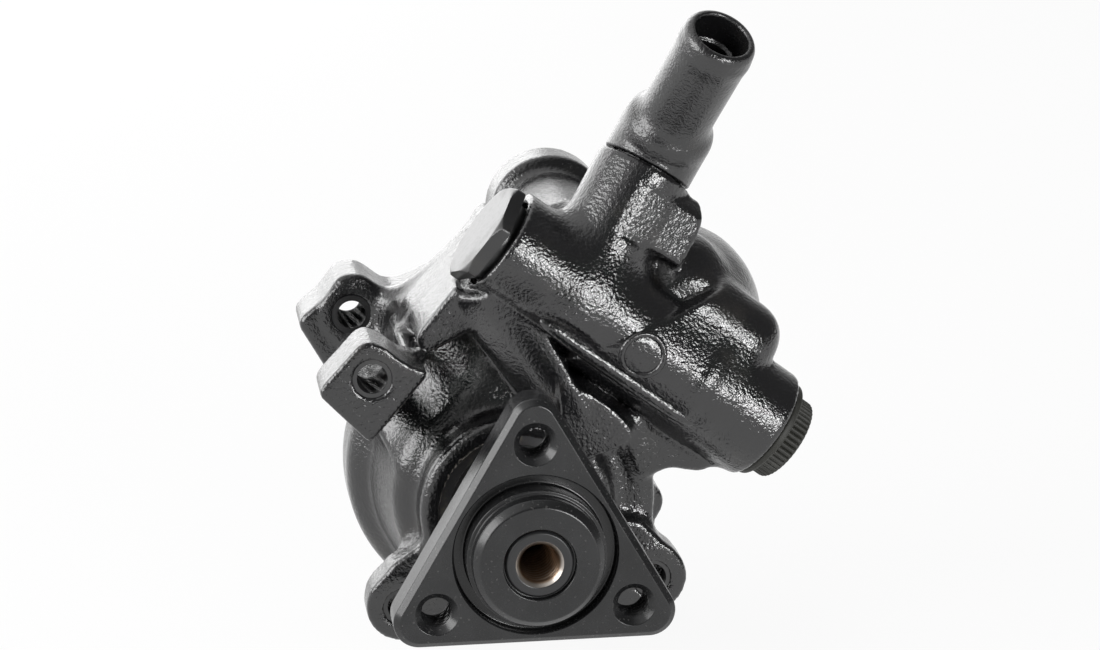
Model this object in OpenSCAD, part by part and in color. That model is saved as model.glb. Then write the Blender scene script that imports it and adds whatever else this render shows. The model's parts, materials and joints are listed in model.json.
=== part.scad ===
// Vane type power steering pump with a three-cornered belt hub, a flow valve and a suction elbow
// Shaft axis along Y with the hub towards -Y, +Z up, origin on the shaft axis at the hub face, millimetres

/* [Drive hub] */
// thickness of the three-cornered flange
flange_t = 9; // [6:0.5:14]
// distance of the flange corner centres from the shaft axis
flange_reach = 28.6; // [26:0.1:34]
// radius of each flange corner
flange_corner_r = 5.7; // [4.5:0.1:8]
// chamfer on the front edge of the flange
flange_chamfer = 1.4; // [0.5:0.1:2]
// pitch circle of the pulley bolts
hub_pcd = 50; // [46:0.5:56]
// core radius of the pulley bolt threads
hub_hole_r = 3.4; // [2.5:0.1:3.6]
// depth of the countersink at each pulley bolt
hub_sink = 1.5; // [0.5:0.1:2]
// radius of the ring recess around the boss
recess_r = 18; // [17:0.1:19]
// depth of the ring recess
recess_depth = 3; // [1:0.1:5]
// radius of the boss step
boss_r = 15.4; // [13.5:0.1:16.5]
// height of the boss step in front of the flange
boss_len = 2.2; // [1:0.1:4]
// radius of the pulley pilot
pilot_r = 14.4; // [12:0.1:15]
// length of the pulley pilot in front of the boss step
pilot_len = 4.4; // [3:0.1:8]
// chamfer on the pulley pilot
pilot_chamfer = 1.5; // [0.5:0.1:2]
// radius of the hub neck behind the flange
neck_r = 11; // [10:0.1:14]
// length of the hub neck behind the flange
neck_len = 14; // [6:0.5:17]
// depth of the mouth around the shaft end
hub_mouth = 1.5; // [0.5:0.1:3]

/* [Drive shaft] */
// radius of the shaft
shaft_r = 7.5; // [6.5:0.05:8]
// core radius of the end thread
shaft_thread_r = 4.25; // [3:0.05:4.5]
// depth of the end thread
shaft_thread_depth = 24; // [12:1:40]
// set back of the shaft end from the pilot face
shaft_set_back = 0.4; // [0.1:0.1:1.5]
// length of the shaft behind the rotor
shaft_tail = 4; // [3:0.1:4.6]

/* [Bearing] */
// front face of the snout, behind the hub face
snout_y = 30; // [27:0.5:34]
// wall of the snout around the bearing
snout_wall = 4.5; // [4:0.1:6]
// outer radius of the bearing
bearing_r = 17.5; // [16.5:0.1:18.5]
// width of the bearing
bearing_w = 11; // [10:0.1:12]
// radius of the bearing balls
ball_r = 3; // [2.6:0.05:3.2]
// number of bearing balls
ball_count = 8; // [6:1:9]
// set back of the bearing circlip from the snout face
circlip_set_back = 1.4; // [1:0.1:3]
// thickness of the bearing circlip
circlip_t = 1.5; // [1:0.1:2]

/* [Seal and bush] */
// outer radius of the shaft seal
seal_r = 13; // [11:0.1:14]
// width of the shaft seal
seal_w = 7; // [5:0.1:8]
// wall of the shaft bush
bush_wall = 2; // [1.5:0.1:3]
// length of the shaft bush
bush_len = 8; // [6:0.1:8.4]

/* [Pump cartridge] */
// front end of the pump chamber, behind the hub face
chamber_y = 60.5; // [60:0.1:64]
// radius of the pump chamber
chamber_r = 28; // [27:0.1:28.5]
// thickness of the front plate
front_plate_t = 5.5; // [4:0.1:7]
// width of the cam ring
cam_w = 16; // [13:0.1:17]
// thinnest wall of the cam ring
cam_wall = 7.9; // [7.4:0.1:9]
// offset of the two arcs of the cam track
cam_shift = 1.2; // [0.6:0.1:1.6]
// thickness of the rear plate
rear_plate_t = 5; // [4.9:0.1:6]
// thickness of the end cover
cover_t = 6.3; // [5:0.1:7]
// thickness of the cover ring
cover_ring_t = 1.7; // [1.2:0.1:2.2]
// depth of the cover ring groove
cover_groove = 1.3; // [0.8:0.1:1.8]
// radius of the dowel pins
dowel_r = 1.5; // [1:0.1:2]
// distance of the dowel pins from the chamber wall
dowel_inset = 3.8; // [3:0.1:4.4]

/* [Rotor and vanes] */
// gap between the rotor and the small radius of the cam track
rotor_gap = 0.3; // [0.15:0.05:0.5]
// number of vanes
vane_count = 10; // [10:1:10]
// thickness of each vane
vane_t = 1.4; // [1.1:0.1:1.8]
// metal of the rotor between the shaft and the vane slots
rotor_core = 1.2; // [0.8:0.1:2]
// free depth of each slot below the vane
vane_travel = 1.2; // [1.05:0.05:1.6]

/* [Flow valve] */
// tilt of the valve axis below level
valve_tilt = 36.5; // [34:0.5:39]
// distance of the valve axis from the shaft axis
valve_reach = 47.3; // [45:0.1:49]
// position of the valve axis behind the hub face
valve_y = 36; // [34:0.5:38]
// radius of the valve bore
valve_bore_r = 8; // [7:0.1:8.5]
// wall of the valve housing
valve_wall = 5; // [4:0.1:6]
// end of the valve housing at the plug, along the valve axis
valve_start = -38; // [-40:0.5:-36]
// end of the valve housing at the outlet, along the valve axis
valve_end = 37; // [36:0.5:40]
// height of the plug head
plug_head_t = 6; // [4:0.1:8]
// width across flats of the plug head
plug_flats = 22; // [20:0.1:24]
// length of the plug thread
plug_thread = 13; // [11:0.1:15]
// length of the spool
spool_len = 22; // [20:0.5:24]
// place of the spool end nearest the plug, along the valve axis
spool_start = -8; // [-9:0.5:-7]
// thickness of the spring wire
spring_wire = 1.3; // [1:0.1:1.5]
// number of spring coils
spring_coils = 7; // [5:1:8]
// radius of the outlet thread
outlet_r = 7; // [6:0.1:7.4]
// radius of the outlet plug flange
outlet_flange_r = 12; // [11:0.1:12.8]
// thickness of the outlet plug flange
outlet_flange_t = 2; // [1:0.1:3]
// radius of the outlet plug head
outlet_head_r = 10; // [8:0.1:10.8]
// height of the outlet plug head
outlet_head_t = 4.6; // [3:0.1:6]
// number of ribs on the outlet plug head
outlet_ribs = 44; // [30:1:50]

/* [Suction elbow] */
// lean of the suction boss towards the rear
boss_lean = 12; // [8:0.5:15]
// turn of the suction boss towards the outlet side
boss_turn = 32; // [28:0.5:36]
// length of the suction boss from the valve axis
boss_reach = 32.6; // [30:0.1:36]
// place of the suction boss along the valve axis
boss_at = -17.5; // [-20:0.5:-15]
// radius of the suction boss
suction_boss_r = 11.3; // [11:0.1:13]
// forward lean of the suction pipe
pipe_lean = 33.3; // [28:0.1:38]
// turn of the suction pipe towards the outlet side
pipe_turn = 20.2; // [16:0.1:24]
// radius of the pipe collar
collar_r = 10.6; // [10:0.1:11]
// height of the pipe collar up to the bend
collar_rise = 6; // [5:0.1:8]
// length of the pipe collar after the bend
collar_len = 9; // [7:0.1:11]
// radius of the hose end
hose_r = 8.4; // [7.5:0.1:9]
// length of the hose end from the bend
hose_len = 36; // [30:0.5:42]
// height of the bead on the hose end
hose_bead = 0.35; // [0.2:0.05:0.6]
// wall of the hose end
hose_wall = 2.2; // [1.6:0.1:2.6]
// length of the pipe spigot in the boss
spigot_len = 12; // [10:0.1:13]
// radius of the pipe spigot in the boss
spigot_r = 8.6; // [8.2:0.1:8.8]

/* [Casting] */
// radius of the shoulder behind the snout
shoulder_r = 26.5; // [25:0.1:28]
// radius of the body in front of the chamber
front_body_r = 31; // [29:0.1:33]
// radius of the body around the chamber
body_r = 36; // [34:0.1:38]
// radius of the body at the rear
rear_body_r = 33.4; // [33:0.1:36]
// radius of the pad beside the snout
pad_r = 32; // [30:0.1:34]
// distance of the upper ears to the left of the shaft axis
upper_ear_x = 33; // [31:0.1:35]
// height of the upper ears above the shaft axis
upper_ear_z = 34.6; // [33:0.1:36]
// front face of the upper front ear, behind the hub face
upper_ear_y = 22; // [20:0.5:24]
// core radius of the upper ear threads
upper_hole_r = 3.4; // [2.5:0.1:4]
// distance of the lower left ear from the shaft axis
lower_left_x = 26.1; // [25:0.1:30]
// drop of the lower left ear below the shaft axis
lower_left_z = 22.4; // [21:0.1:25]
// distance of the lower right ear from the shaft axis
lower_right_x = 31.4; // [30:0.1:34]
// drop of the lower right ear below the shaft axis
lower_right_z = 18.4; // [17:0.1:20]
// radius of the lower ears
lower_ear_r = 8.2; // [7:0.1:9]
// thickness of the lower ears
lower_ear_t = 9; // [7:0.1:11]
// radius of the lower ear holes
lower_hole_r = 4.2; // [3:0.1:5]

/* [Fits] */
// clearance of pressed and located parts
press_gap = 0.02; // [0.01:0.01:0.05]
// clearance of running and sliding parts
run_gap = 0.03; // [0.02:0.01:0.08]
// thread and loose clearance
loose_gap = 0.3; // [0.3:0.05:0.4]

/* [Hidden] */
$fn = 64;
hull_fn = 40;
small = 0.01;
third = 120;
half = 2;
front_end_y = -(boss_len + pilot_len);
shaft_front_y = front_end_y + shaft_set_back;
shaft_thread_mouth = 1;
hub_bore_r = shaft_r + press_gap;
hub_mouth_r = hub_bore_r + 0.45;
hub_hole_reach = hub_pcd / half;
flange_chamfer_depth = flange_chamfer * 0.75;
circlip_y = snout_y + circlip_set_back;
bearing_y = circlip_y + circlip_t + press_gap;
bearing_bore_r = bearing_r + press_gap;
bearing_mid_y = bearing_y + bearing_w / half;
pitch_r = (bearing_r + shaft_r) / half;
race_gap = run_gap * half;
ring_band = 2.3;
inner_ring_r = pitch_r - ring_band;
outer_ring_r = pitch_r + ring_band;
cage_band = 0.8;
cage_w = bearing_w * 0.62;
shield_t = 0.6;
shield_rim = 0.4;
shield_gap = 0.4;
shield_seat = bearing_r - outer_ring_r;
circlip_groove = 1;
circlip_rise = 0.52;
circlip_cut = 8;
seat_y = bearing_y + bearing_w;
seal_y = seat_y + loose_gap;
seal_end_y = seal_y + seal_w + loose_gap;
seal_lip_gap = run_gap * half;
seal_skin = 1.2;
bush_r = shaft_r + run_gap + bush_wall;
bush_y = chamber_y - bush_len - loose_gap;
plate_r = chamber_r - press_gap;
plate_bore_r = shaft_r + half;
cam_y = chamber_y + front_plate_t;
rear_plate_y = cam_y + cam_w;
cover_y = rear_plate_y + rear_plate_t;
cover_ring_y = cover_y + cover_t;
housing_end_y = cover_ring_y + cover_ring_t + 1;
shaft_end_y = rear_plate_y + shaft_tail;
rotor_y = cam_y + run_gap;
rotor_w = cam_w - run_gap * half;
cam_r = chamber_r - cam_wall - cam_shift;
dowel_reach = chamber_r - dowel_inset;
cam_low = sqrt(cam_r * cam_r - cam_shift * cam_shift);
rotor_r = cam_low - rotor_gap;
vane_tip_gap = 0.06;
vane_tip = cam_low - vane_tip_gap;
slot_t = vane_t + run_gap * half;
slot_end_r = slot_t * 0.8;
slot_foot = shaft_r + press_gap + rotor_core + slot_end_r;
vane_foot = slot_foot + vane_travel;
vane_h = vane_tip - vane_foot;
rotor_clip_y = rear_plate_y + 0.5;
rotor_clip_t = 1.2;
rotor_clip_groove = 0.6;
rotor_clip_band = 1.5;
cover_ring_band = 3;
cover_ring_cut = 12;
cover_seal_w = 2.4;
cover_seal_r = 1.1;
cover_seal_y = cover_y + cover_t / half;
snout_r = bearing_r + snout_wall;
edge_cut = 1;
step_len = 2;
snout_len = 9.5;
shoulder_y = seat_y;
shoulder_len = 5;
front_body_y = shoulder_y + 10;
body_step = 3.6;
valve_x = valve_reach * sin(valve_tilt);
valve_z = valve_reach * cos(valve_tilt);
valve_r = valve_bore_r + valve_wall;
plug_thread_r = valve_bore_r + 1;
plug_bore_r = plug_thread_r + press_gap;
plug_seal_wire = 1.15;
plug_seal_r = plug_thread_r + 0.4;
plug_seal_groove = 2.6;
plug_seal_mid = valve_start + plug_seal_groove / half;
plug_inner = valve_start + plug_thread;
plug_pocket = 6;
spot_r = plug_flats / half / cos(30) + 0.6;
spring_r = valve_bore_r - 2.6;
spring_pocket_r = spring_r + loose_gap;
spool_pocket = 8;
spring_start = plug_inner - plug_pocket;
spring_end = spool_start + spool_pocket;
spring_len = spring_end - spring_start;
spring_pitch = spring_len / spring_coils;
spring_angle = 360 * spring_wire / spring_pitch;
spring_slices = 14;
spring_fn = 10;
spool_r = valve_bore_r - run_gap;
spool_groove = 1.6;
spool_groove_w = 4;
spool_end = spool_start + spool_len;
spool_nose = 3;
outlet_bore_start = valve_end - 12;
outlet_bore_r = outlet_r + press_gap;
outlet_way_r = outlet_r - 1.2;
valve_bore_end = spool_end + press_gap;
outlet_step = 1.8;
rib_depth = 0.55;
disc_r = 5.5;
disc_rise = 0.5;
lug_x = 31.5;
lug_y = snout_y + 12;
lug_z = -3.5;
lug_r = 4.4;
lug_t = 16;
lobe_rise = 12;
lobe_back = 2;
lobe_r = 11.5;
lobe_start = 4;
lobe_len = 14;
right_section = 0.8;
boss_x = valve_pt(boss_at, 0)[0];
boss_z = valve_pt(boss_at, 0)[1];
suction_socket_r = spigot_r + press_gap;
suction_way_r = spigot_r - 2.4;
spigot_bore_r = spigot_r - 2.2;
suction_seal_wire = 1.1;
suction_seal_at = spigot_len / half;
joint_gap = 0.35;
hose_bore_r = hose_r - hose_wall;
hose_step = 0.8;
hose_round = 1.2;
bead_from = hose_len - 7;
bead_w = 3;
bend_swell = 0.12;
boss_flat = 17;
boss_flat_from = -1.5;
boss_flat_drop = 1.5;
boss_flat_deep = 9.6;
boss_flat_turn = 10;
boss_flat_low = 22;
front_ear_t = 14;
front_ear_r = 8.3;
rear_ear_y = upper_ear_y + 57;
rear_ear_t = 13;
rear_ear_r = 11.5;
lower_ear_y = snout_y + 2;
lower_hole_depth = lower_ear_t - 1.6;
hole_sink = 1.3;
wall_y = upper_ear_y + 12;
wall_t = 28;
pad_y = snout_y - 2;
pad_t = 30;
web_y = valve_y - 2;
web_t = 14;
floor_y = snout_y + 13;
floor_t = 21;
back_boss_r = 20.5;
dome_r = 14.3;
dome_x = 15.2;
dome_z = 56;
rib_r = 3;
way_r = 3;
left_ear = [-upper_ear_x, upper_ear_z];
boss_dir = [cos(boss_lean) * sin(boss_turn), sin(boss_lean), cos(boss_lean) * cos(boss_turn)];
bend_at = [boss_x, valve_y, boss_z] + (boss_reach + collar_rise) * boss_dir;
suction_way_from = [boss_x, valve_y, boss_z];
suction_way_to = [ring_pt(chamber_r - 1, 70)[0], cam_y - half, ring_pt(chamber_r - 1, 70)[1]];
pressure_way_from = [valve_pt(12, 0)[0], valve_y, valve_pt(12, 0)[1]];
pressure_way_to = [ring_pt(chamber_r - 1, 25)[0], cam_y - half, ring_pt(chamber_r - 1, 25)[1]];

// valve_pt gives the place in X and Z of a point at s along the valve axis and t outward from it
function valve_pt(s, t) = [
    valve_reach * sin(valve_tilt) + s * cos(valve_tilt) + t * sin(valve_tilt),
    valve_reach * cos(valve_tilt) - s * sin(valve_tilt) + t * cos(valve_tilt)
];
// from_ear gives a point set off from the upper ears
function from_ear(dx, dz) = [left_ear[0] + dx, left_ear[1] + dz];
// ring_pt gives a point at radius r and angle a about the shaft axis
function ring_pt(r, a) = [r * cos(a), r * sin(a)];

front_ear_shape = [
    from_ear(-11.4, -3.4), from_ear(-10.6, -1), from_ear(-5.4, 5.2), from_ear(7, 5.2),
    from_ear(13.2, 1.4), from_ear(10, -6), from_ear(-0.4, -14.6)
];
wall_shape = [
    valve_pt(-40, -6), valve_pt(-42.5, -27.5), from_ear(9, 1.4), from_ear(9, -6), [-14, 32], [-2, 37.5],
    valve_pt(-20, -4)
];
floor_shape = [
    valve_pt(-37, 0), valve_pt(valve_end - 6, 6), valve_pt(valve_end - 6, -8), [31, 6], [0, -10], [-28, 16]
];
rear_flange_shape = [
    from_ear(-13.4, 1.6), from_ear(-7, 9), from_ear(7, 9), [-19, 42], [-9, 46.5], [1, 56], [28, 58], [34, 44],
    [34, 4], [0, -8], [-30, 4], from_ear(-7, -14)
];
web_shape = [
    [24, 18], [28, 5], [36, 7.2], [43, 5.8], valve_pt(valve_end - 4, -12), valve_pt(valve_end - 7, -4),
    valve_pt(14, -4)
];
rib_shape = [
    [-2.5, 50], [4.6, 48.5], [13.6, 29.2], [19, 16], [6, 16], [8.4, 28.6]
];
pad_shape = [
    [0, 0], ring_pt(pad_r * half, 72), ring_pt(pad_r * half, 20), ring_pt(pad_r * half, -28)
];
lower_left_shape = [
    [-lower_left_x - 7.4, -lower_left_z + 3.5], [-lower_left_x - 2.4, -lower_left_z + 10], [-10, 0], [0, 0],
    [-6, -22], [-lower_left_x + 2.2, -lower_left_z - 7.9]
];
lower_right_shape = [
    [lower_right_x + 5.6, -lower_right_z + 6], [28.6, -4.4], [0, 0], [8, -22],
    [lower_right_x - 2.2, -lower_right_z - 7.9]
];
body_profile = [
    [0, snout_y], [snout_r - edge_cut, snout_y], [snout_r, snout_y + edge_cut],
    [snout_r, snout_y + snout_len],
    [shoulder_r - edge_cut, shoulder_y - step_len], [shoulder_r, shoulder_y],
    [shoulder_r, shoulder_y + shoulder_len], [front_body_r - edge_cut, front_body_y - edge_cut],
    [front_body_r, front_body_y], [front_body_r, chamber_y - edge_cut], [body_r, chamber_y + body_step],
    [body_r, rear_plate_y - body_step], [rear_body_r, rear_plate_y - edge_cut],
    [rear_body_r, housing_end_y], [0, housing_end_y]
];

// along_y turns a shape built on Z so that it points along +Y from a place
module along_y(x, y, z) {
    translate([x, y, z]) rotate([-90, 0, 0]) children();
}

// prism_y is an outline in X and Z drawn out along +Y
module prism_y(y, len, shape) {
    along_y(0, y, 0) linear_extrude(len) polygon([for (p = shape) [p[0], -p[1]]]);
}

// rod_y is a round bar along +Y
module rod_y(x, y, z, r, len) {
    along_y(x, y, z) cylinder(h = len, r = r);
}

// ring_y is a plain ring about the shaft axis
module ring_y(y, len, outer, inner) {
    along_y(0, y, 0) difference() {
        cylinder(h = len, r = outer);
        translate([0, 0, -small]) cylinder(h = len + small * half, r = inner);
    }
}

// in_valve places a shape at s along the valve axis, with Z along that axis
module in_valve(s) {
    translate([valve_x, valve_y, valve_z]) rotate([0, 90 + valve_tilt, 0]) translate([0, 0, s]) children();
}

// in_boss places a shape at s along the suction boss, measured from its mouth
module in_boss(s) {
    translate([boss_x, valve_y, boss_z]) rotate([-boss_lean, boss_turn, 0]) translate([0, 0, boss_reach + s])
        children();
}

// in_pipe places a shape at s along the hose end, measured from the bend
module in_pipe(s) {
    translate(bend_at) rotate([pipe_lean, pipe_turn, 0]) translate([0, 0, s]) children();
}

// drill is a straight drilling between two places
module drill(from, to, r) {
    run = to - from;
    translate(from) rotate([0, acos(run[2] / norm(run)), atan2(run[1], run[0])])
        cylinder(h = norm(run), r = r);
}

module body_block() {
    along_y(0, 0, 0) rotate_extrude() polygon(body_profile);
}

module ear_blocks() {
    rod_y(left_ear[0] + 0.8, upper_ear_y, left_ear[1] - 0.3, front_ear_r, front_ear_t);
    prism_y(upper_ear_y, front_ear_t, front_ear_shape);
    rod_y(left_ear[0], rear_ear_y, left_ear[1], rear_ear_r, rear_ear_t);
    prism_y(rear_ear_y, rear_ear_t, rear_flange_shape);
    rod_y(dome_x, rear_ear_y, dome_z, dome_r, rear_ear_t);
    rod_y(-lower_left_x, lower_ear_y, -lower_left_z, lower_ear_r, lower_ear_t);
    prism_y(lower_ear_y, lower_ear_t, lower_left_shape);
    rod_y(lower_right_x, lower_ear_y, -lower_right_z, lower_ear_r, lower_ear_t);
    prism_y(lower_ear_y, lower_ear_t, lower_right_shape);
}

module web_blocks() {
    prism_y(wall_y, wall_t, wall_shape);
    prism_y(floor_y, floor_t, floor_shape);
    prism_y(web_y, web_t, web_shape);
    prism_y(pad_y - 1, pad_t, rib_shape);
    intersection() {
        rod_y(0, pad_y, 0, pad_r, pad_t);
        prism_y(pad_y, pad_t, pad_shape);
    }
    rod_y(valve_pt(10, 7)[0], floor_y - 2, valve_pt(10, 7)[1], back_boss_r, floor_t);
}

module valve_block() {
    in_valve(valve_start) cylinder(h = valve_end - valve_start, r = valve_r);
    in_valve(lobe_start) cylinder(h = valve_end - lobe_start - 4, r = valve_r + right_section);
    in_valve(lobe_start) translate([-lobe_rise, lobe_back, 0]) cylinder(h = lobe_len, r = lobe_r);
    in_valve(lobe_start + lobe_len - 1.5) translate([-lobe_rise, lobe_back, 0]) sphere(r = lobe_r + 0.6);
    rod_y(valve_x, valve_y - valve_r - disc_rise, valve_z, disc_r, valve_r);
    in_boss(-boss_reach) cylinder(h = boss_reach, r = suction_boss_r);
    in_boss(-boss_flat_low) rotate([0, 0, -boss_flat_turn])
        translate([boss_flat_from, -boss_flat_deep, 0])
        cube([boss_flat, boss_flat_deep * 1.6, boss_flat_low - boss_flat_drop]);
    rod_y(lug_x, lug_y, lug_z, lug_r, lug_t);
}

module bearing_bores() {
    rod_y(0, pad_y - half, 0, bearing_bore_r, seat_y - pad_y + half);
    rod_y(0, circlip_y, 0, bearing_bore_r + circlip_groove, circlip_t);
    rod_y(0, seat_y - 1, 0, seal_r + press_gap, seal_end_y - seat_y + 1);
    rod_y(0, seal_end_y - 1, 0, bush_r + press_gap, chamber_y - seal_end_y + half);
    rod_y(0, chamber_y, 0, chamber_r, housing_end_y - chamber_y + 1);
    rod_y(0, cover_ring_y, 0, chamber_r + cover_groove, cover_ring_t);
}

module valve_bores() {
    groove_r = plug_seal_r + plug_seal_wire + press_gap;
    in_valve(valve_start - plug_head_t * half) cylinder(h = plug_head_t * half, r = spot_r);
    in_valve(valve_start - 1) cylinder(h = valve_bore_end - valve_start + 1, r = valve_bore_r);
    in_valve(valve_start - 1) cylinder(h = plug_thread + loose_gap + 1, r = plug_bore_r);
    in_valve(valve_start - 1) cylinder(h = plug_seal_groove + 1, r = groove_r);
    in_valve(valve_bore_end - 1) cylinder(h = valve_end - valve_bore_end + half, r = outlet_way_r);
    in_valve(outlet_bore_start) cylinder(h = valve_end - outlet_bore_start + 1, r = outlet_bore_r);
    in_boss(-spigot_len - loose_gap) cylinder(h = spigot_len + loose_gap + 1, r = suction_socket_r);
    in_boss(-boss_reach) cylinder(h = boss_reach, r = suction_way_r);
}

module drilled_ways() {
    drill(suction_way_from, suction_way_to, way_r);
    drill(pressure_way_from, pressure_way_to, way_r);
}

// hole_y is a drilled hole with a countersunk mouth, drilled from the front
module hole_y(x, y, z, r, depth) {
    rod_y(x, y - 1, z, r, depth + 1);
    along_y(x, y - small, z) cylinder(h = hole_sink, r1 = r + hole_sink, r2 = r);
}

module ear_holes() {
    hole_y(left_ear[0], upper_ear_y, left_ear[1], upper_hole_r, front_ear_t + 1);
    hole_y(left_ear[0], rear_ear_y, left_ear[1], upper_hole_r, rear_ear_t + 1);
    hole_y(-lower_left_x, lower_ear_y, -lower_left_z, lower_hole_r, lower_hole_depth);
    hole_y(lower_right_x, lower_ear_y, -lower_right_z, lower_hole_r, lower_hole_depth);
}

module housing() {
    color("#26272a") difference() {
        union() {
            body_block();
            ear_blocks();
            web_blocks();
            valve_block();
        }
        bearing_bores();
        valve_bores();
        drilled_ways();
        ear_holes();
    }
}

// flange_corner is one corner of the hub flange with its front chamfer
module flange_corner() {
    inner = flange_corner_r - flange_chamfer;
    cylinder(h = flange_chamfer_depth, r1 = inner, r2 = flange_corner_r, $fn = hull_fn);
    translate([0, 0, flange_chamfer_depth])
        cylinder(h = flange_t - flange_chamfer_depth, r = flange_corner_r, $fn = hull_fn);
}

module hub_blank() {
    along_y(0, 0, 0) hull() {
        for (k = [0 : 2]) rotate([0, 0, k * third - 90]) translate([flange_reach, 0, 0]) flange_corner();
    }
    rod_y(0, flange_t - 1, 0, neck_r, neck_len + 1);
}

module hub_boss() {
    along_y(0, -boss_len, 0) cylinder(h = boss_len + recess_depth + 1, r = boss_r);
    along_y(0, front_end_y + pilot_chamfer, 0) cylinder(h = pilot_len - pilot_chamfer + half, r = pilot_r);
    along_y(0, front_end_y, 0) cylinder(h = pilot_chamfer, r1 = pilot_r - pilot_chamfer, r2 = pilot_r);
}

module drive_hub() {
    color("#4a4b4d") difference() {
        union() {
            difference() {
                hub_blank();
                rod_y(0, -1, 0, recess_r, recess_depth + 1);
            }
            hub_boss();
        }
        rod_y(0, front_end_y - 1, 0, hub_bore_r, flange_t + neck_len - front_end_y + half);
        rod_y(0, front_end_y - 1, 0, hub_mouth_r, hub_mouth + 1);
        for (k = [0 : 2]) rotate([0, k * third, 0]) hub_hole();
    }
}

module hub_hole() {
    rod_y(0, -1, hub_hole_reach, hub_hole_r, flange_t + half);
    along_y(0, -small, hub_hole_reach) cylinder(h = hub_sink, r1 = hub_hole_r + hub_sink, r2 = hub_hole_r);
}

module drive_shaft() {
    color("#6d6a66") difference() {
        rod_y(0, shaft_front_y, 0, shaft_r, shaft_end_y - shaft_front_y);
        rod_y(0, shaft_front_y - 1, 0, shaft_thread_r, shaft_thread_depth + 1);
        along_y(0, shaft_front_y - small, 0)
            cylinder(h = shaft_thread_mouth, r1 = shaft_thread_r + shaft_thread_mouth, r2 = shaft_thread_r);
        ring_y(rotor_clip_y, rotor_clip_t, shaft_r + 1, shaft_r - rotor_clip_groove);
    }
}

// race is the ball groove shared by both bearing rings
module race() {
    along_y(0, bearing_mid_y, 0) rotate_extrude() translate([pitch_r, 0]) circle(r = ball_r + race_gap);
}

module bearing_inner_ring() {
    color("#a7a8aa") difference() {
        ring_y(bearing_y, bearing_w, inner_ring_r, shaft_r + press_gap);
        race();
    }
}

module bearing_outer_ring() {
    color("#a7a8aa") difference() {
        ring_y(bearing_y, bearing_w, bearing_r, outer_ring_r);
        race();
    }
}

module bearing_balls() {
    color("#c9cacc") for (k = [0 : ball_count - 1]) rotate([0, k * 360 / ball_count, 0])
        translate([pitch_r, bearing_mid_y, 0]) sphere(r = ball_r);
}

module bearing_cage() {
    color("#8e8f90") difference() {
        ring_y(bearing_mid_y - cage_w / half, cage_w, pitch_r + cage_band, pitch_r - cage_band);
        for (k = [0 : ball_count - 1]) rotate([0, k * 360 / ball_count, 0])
            translate([inner_ring_r, bearing_mid_y, 0]) rotate([0, 90, 0])
            cylinder(h = ring_band * half, r = ball_r + race_gap);
    }
}

module bearing_shield() {
    color("#2b2b2c")
        ring_y(bearing_y + shield_rim, shield_t, outer_ring_r - press_gap, inner_ring_r + shield_gap);
}

module bearing_circlip() {
    outer = bearing_bore_r + circlip_groove - press_gap;
    color("#5a5a5c") difference() {
        ring_y(circlip_y, circlip_t, outer, outer_ring_r + circlip_rise);
        translate([-circlip_cut / half, circlip_y - 1, -bearing_r * half])
            cube([circlip_cut, circlip_t + half, bearing_r * half]);
    }
}

module shaft_seal() {
    color("#1b1b1c") difference() {
        ring_y(seal_y, seal_w, seal_r, shaft_r + seal_lip_gap);
        ring_y(seal_y + seal_skin, seal_w, seal_r - seal_skin, shaft_r + seal_skin);
    }
}

module shaft_bush() {
    color("#b08d57") ring_y(bush_y, bush_len, bush_r, shaft_r + run_gap);
}

// dowel_set is the pair of dowel pins at a chosen radius
module dowel_set(y, len, r) {
    rod_y(dowel_reach, y, 0, r, len);
    rod_y(-dowel_reach, y, 0, r, len);
}

module front_plate() {
    color("#9a9b9d") difference() {
        ring_y(chamber_y, front_plate_t, plate_r, plate_bore_r);
        dowel_set(chamber_y - 1, front_plate_t + half, dowel_r + press_gap);
    }
}

module cam_ring() {
    color("#8b8c8f") difference() {
        rod_y(0, cam_y, 0, plate_r, cam_w);
        rod_y(cam_shift, cam_y - 1, 0, cam_r, cam_w + half);
        rod_y(-cam_shift, cam_y - 1, 0, cam_r, cam_w + half);
        dowel_set(cam_y - 1, cam_w + half, dowel_r + press_gap);
    }
}

module rear_plate() {
    color("#9a9b9d") difference() {
        ring_y(rear_plate_y, rear_plate_t, plate_r, plate_bore_r);
        dowel_set(rear_plate_y - 1, rear_plate_t + half, dowel_r + press_gap);
    }
}

module dowel_pins() {
    stack = front_plate_t + cam_w + rear_plate_t;
    color("#b9babc") dowel_set(chamber_y + loose_gap, stack - loose_gap * half, dowel_r);
}

module rotor() {
    color("#808184") difference() {
        ring_y(rotor_y, rotor_w, rotor_r, shaft_r + press_gap);
        for (k = [0 : vane_count - 1]) rotate([0, k * 360 / vane_count, 0]) vane_slot();
    }
}

module vane_slot() {
    translate([-slot_t / half, rotor_y - 1, slot_foot]) cube([slot_t, rotor_w + half, rotor_r]);
    rod_y(0, rotor_y - 1, slot_foot, slot_end_r, rotor_w + half);
}

module rotor_circlip() {
    seat_r = shaft_r - rotor_clip_groove;
    clip_t = rotor_clip_t - press_gap * half;
    color("#5a5a5c") difference() {
        ring_y(rotor_clip_y + press_gap, clip_t, seat_r + rotor_clip_band, seat_r + press_gap);
        translate([-shaft_r / half, rotor_clip_y - 1, -shaft_r * half])
            cube([shaft_r, rotor_clip_t + half, shaft_r * half]);
    }
}

// vane is one sliding vane, turned to its slot
module vane(k) {
    color("#c3c4c6") rotate([0, k * 360 / vane_count, 0])
        translate([-vane_t / half, rotor_y, vane_foot]) cube([vane_t, rotor_w, vane_h]);
}

module vane_01() {
    vane(0);
}

module vane_02() {
    vane(1);
}

module vane_03() {
    vane(2);
}

module vane_04() {
    vane(3);
}

module vane_05() {
    vane(4);
}

module vane_06() {
    vane(5);
}

module vane_07() {
    vane(6);
}

module vane_08() {
    vane(7);
}

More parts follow.
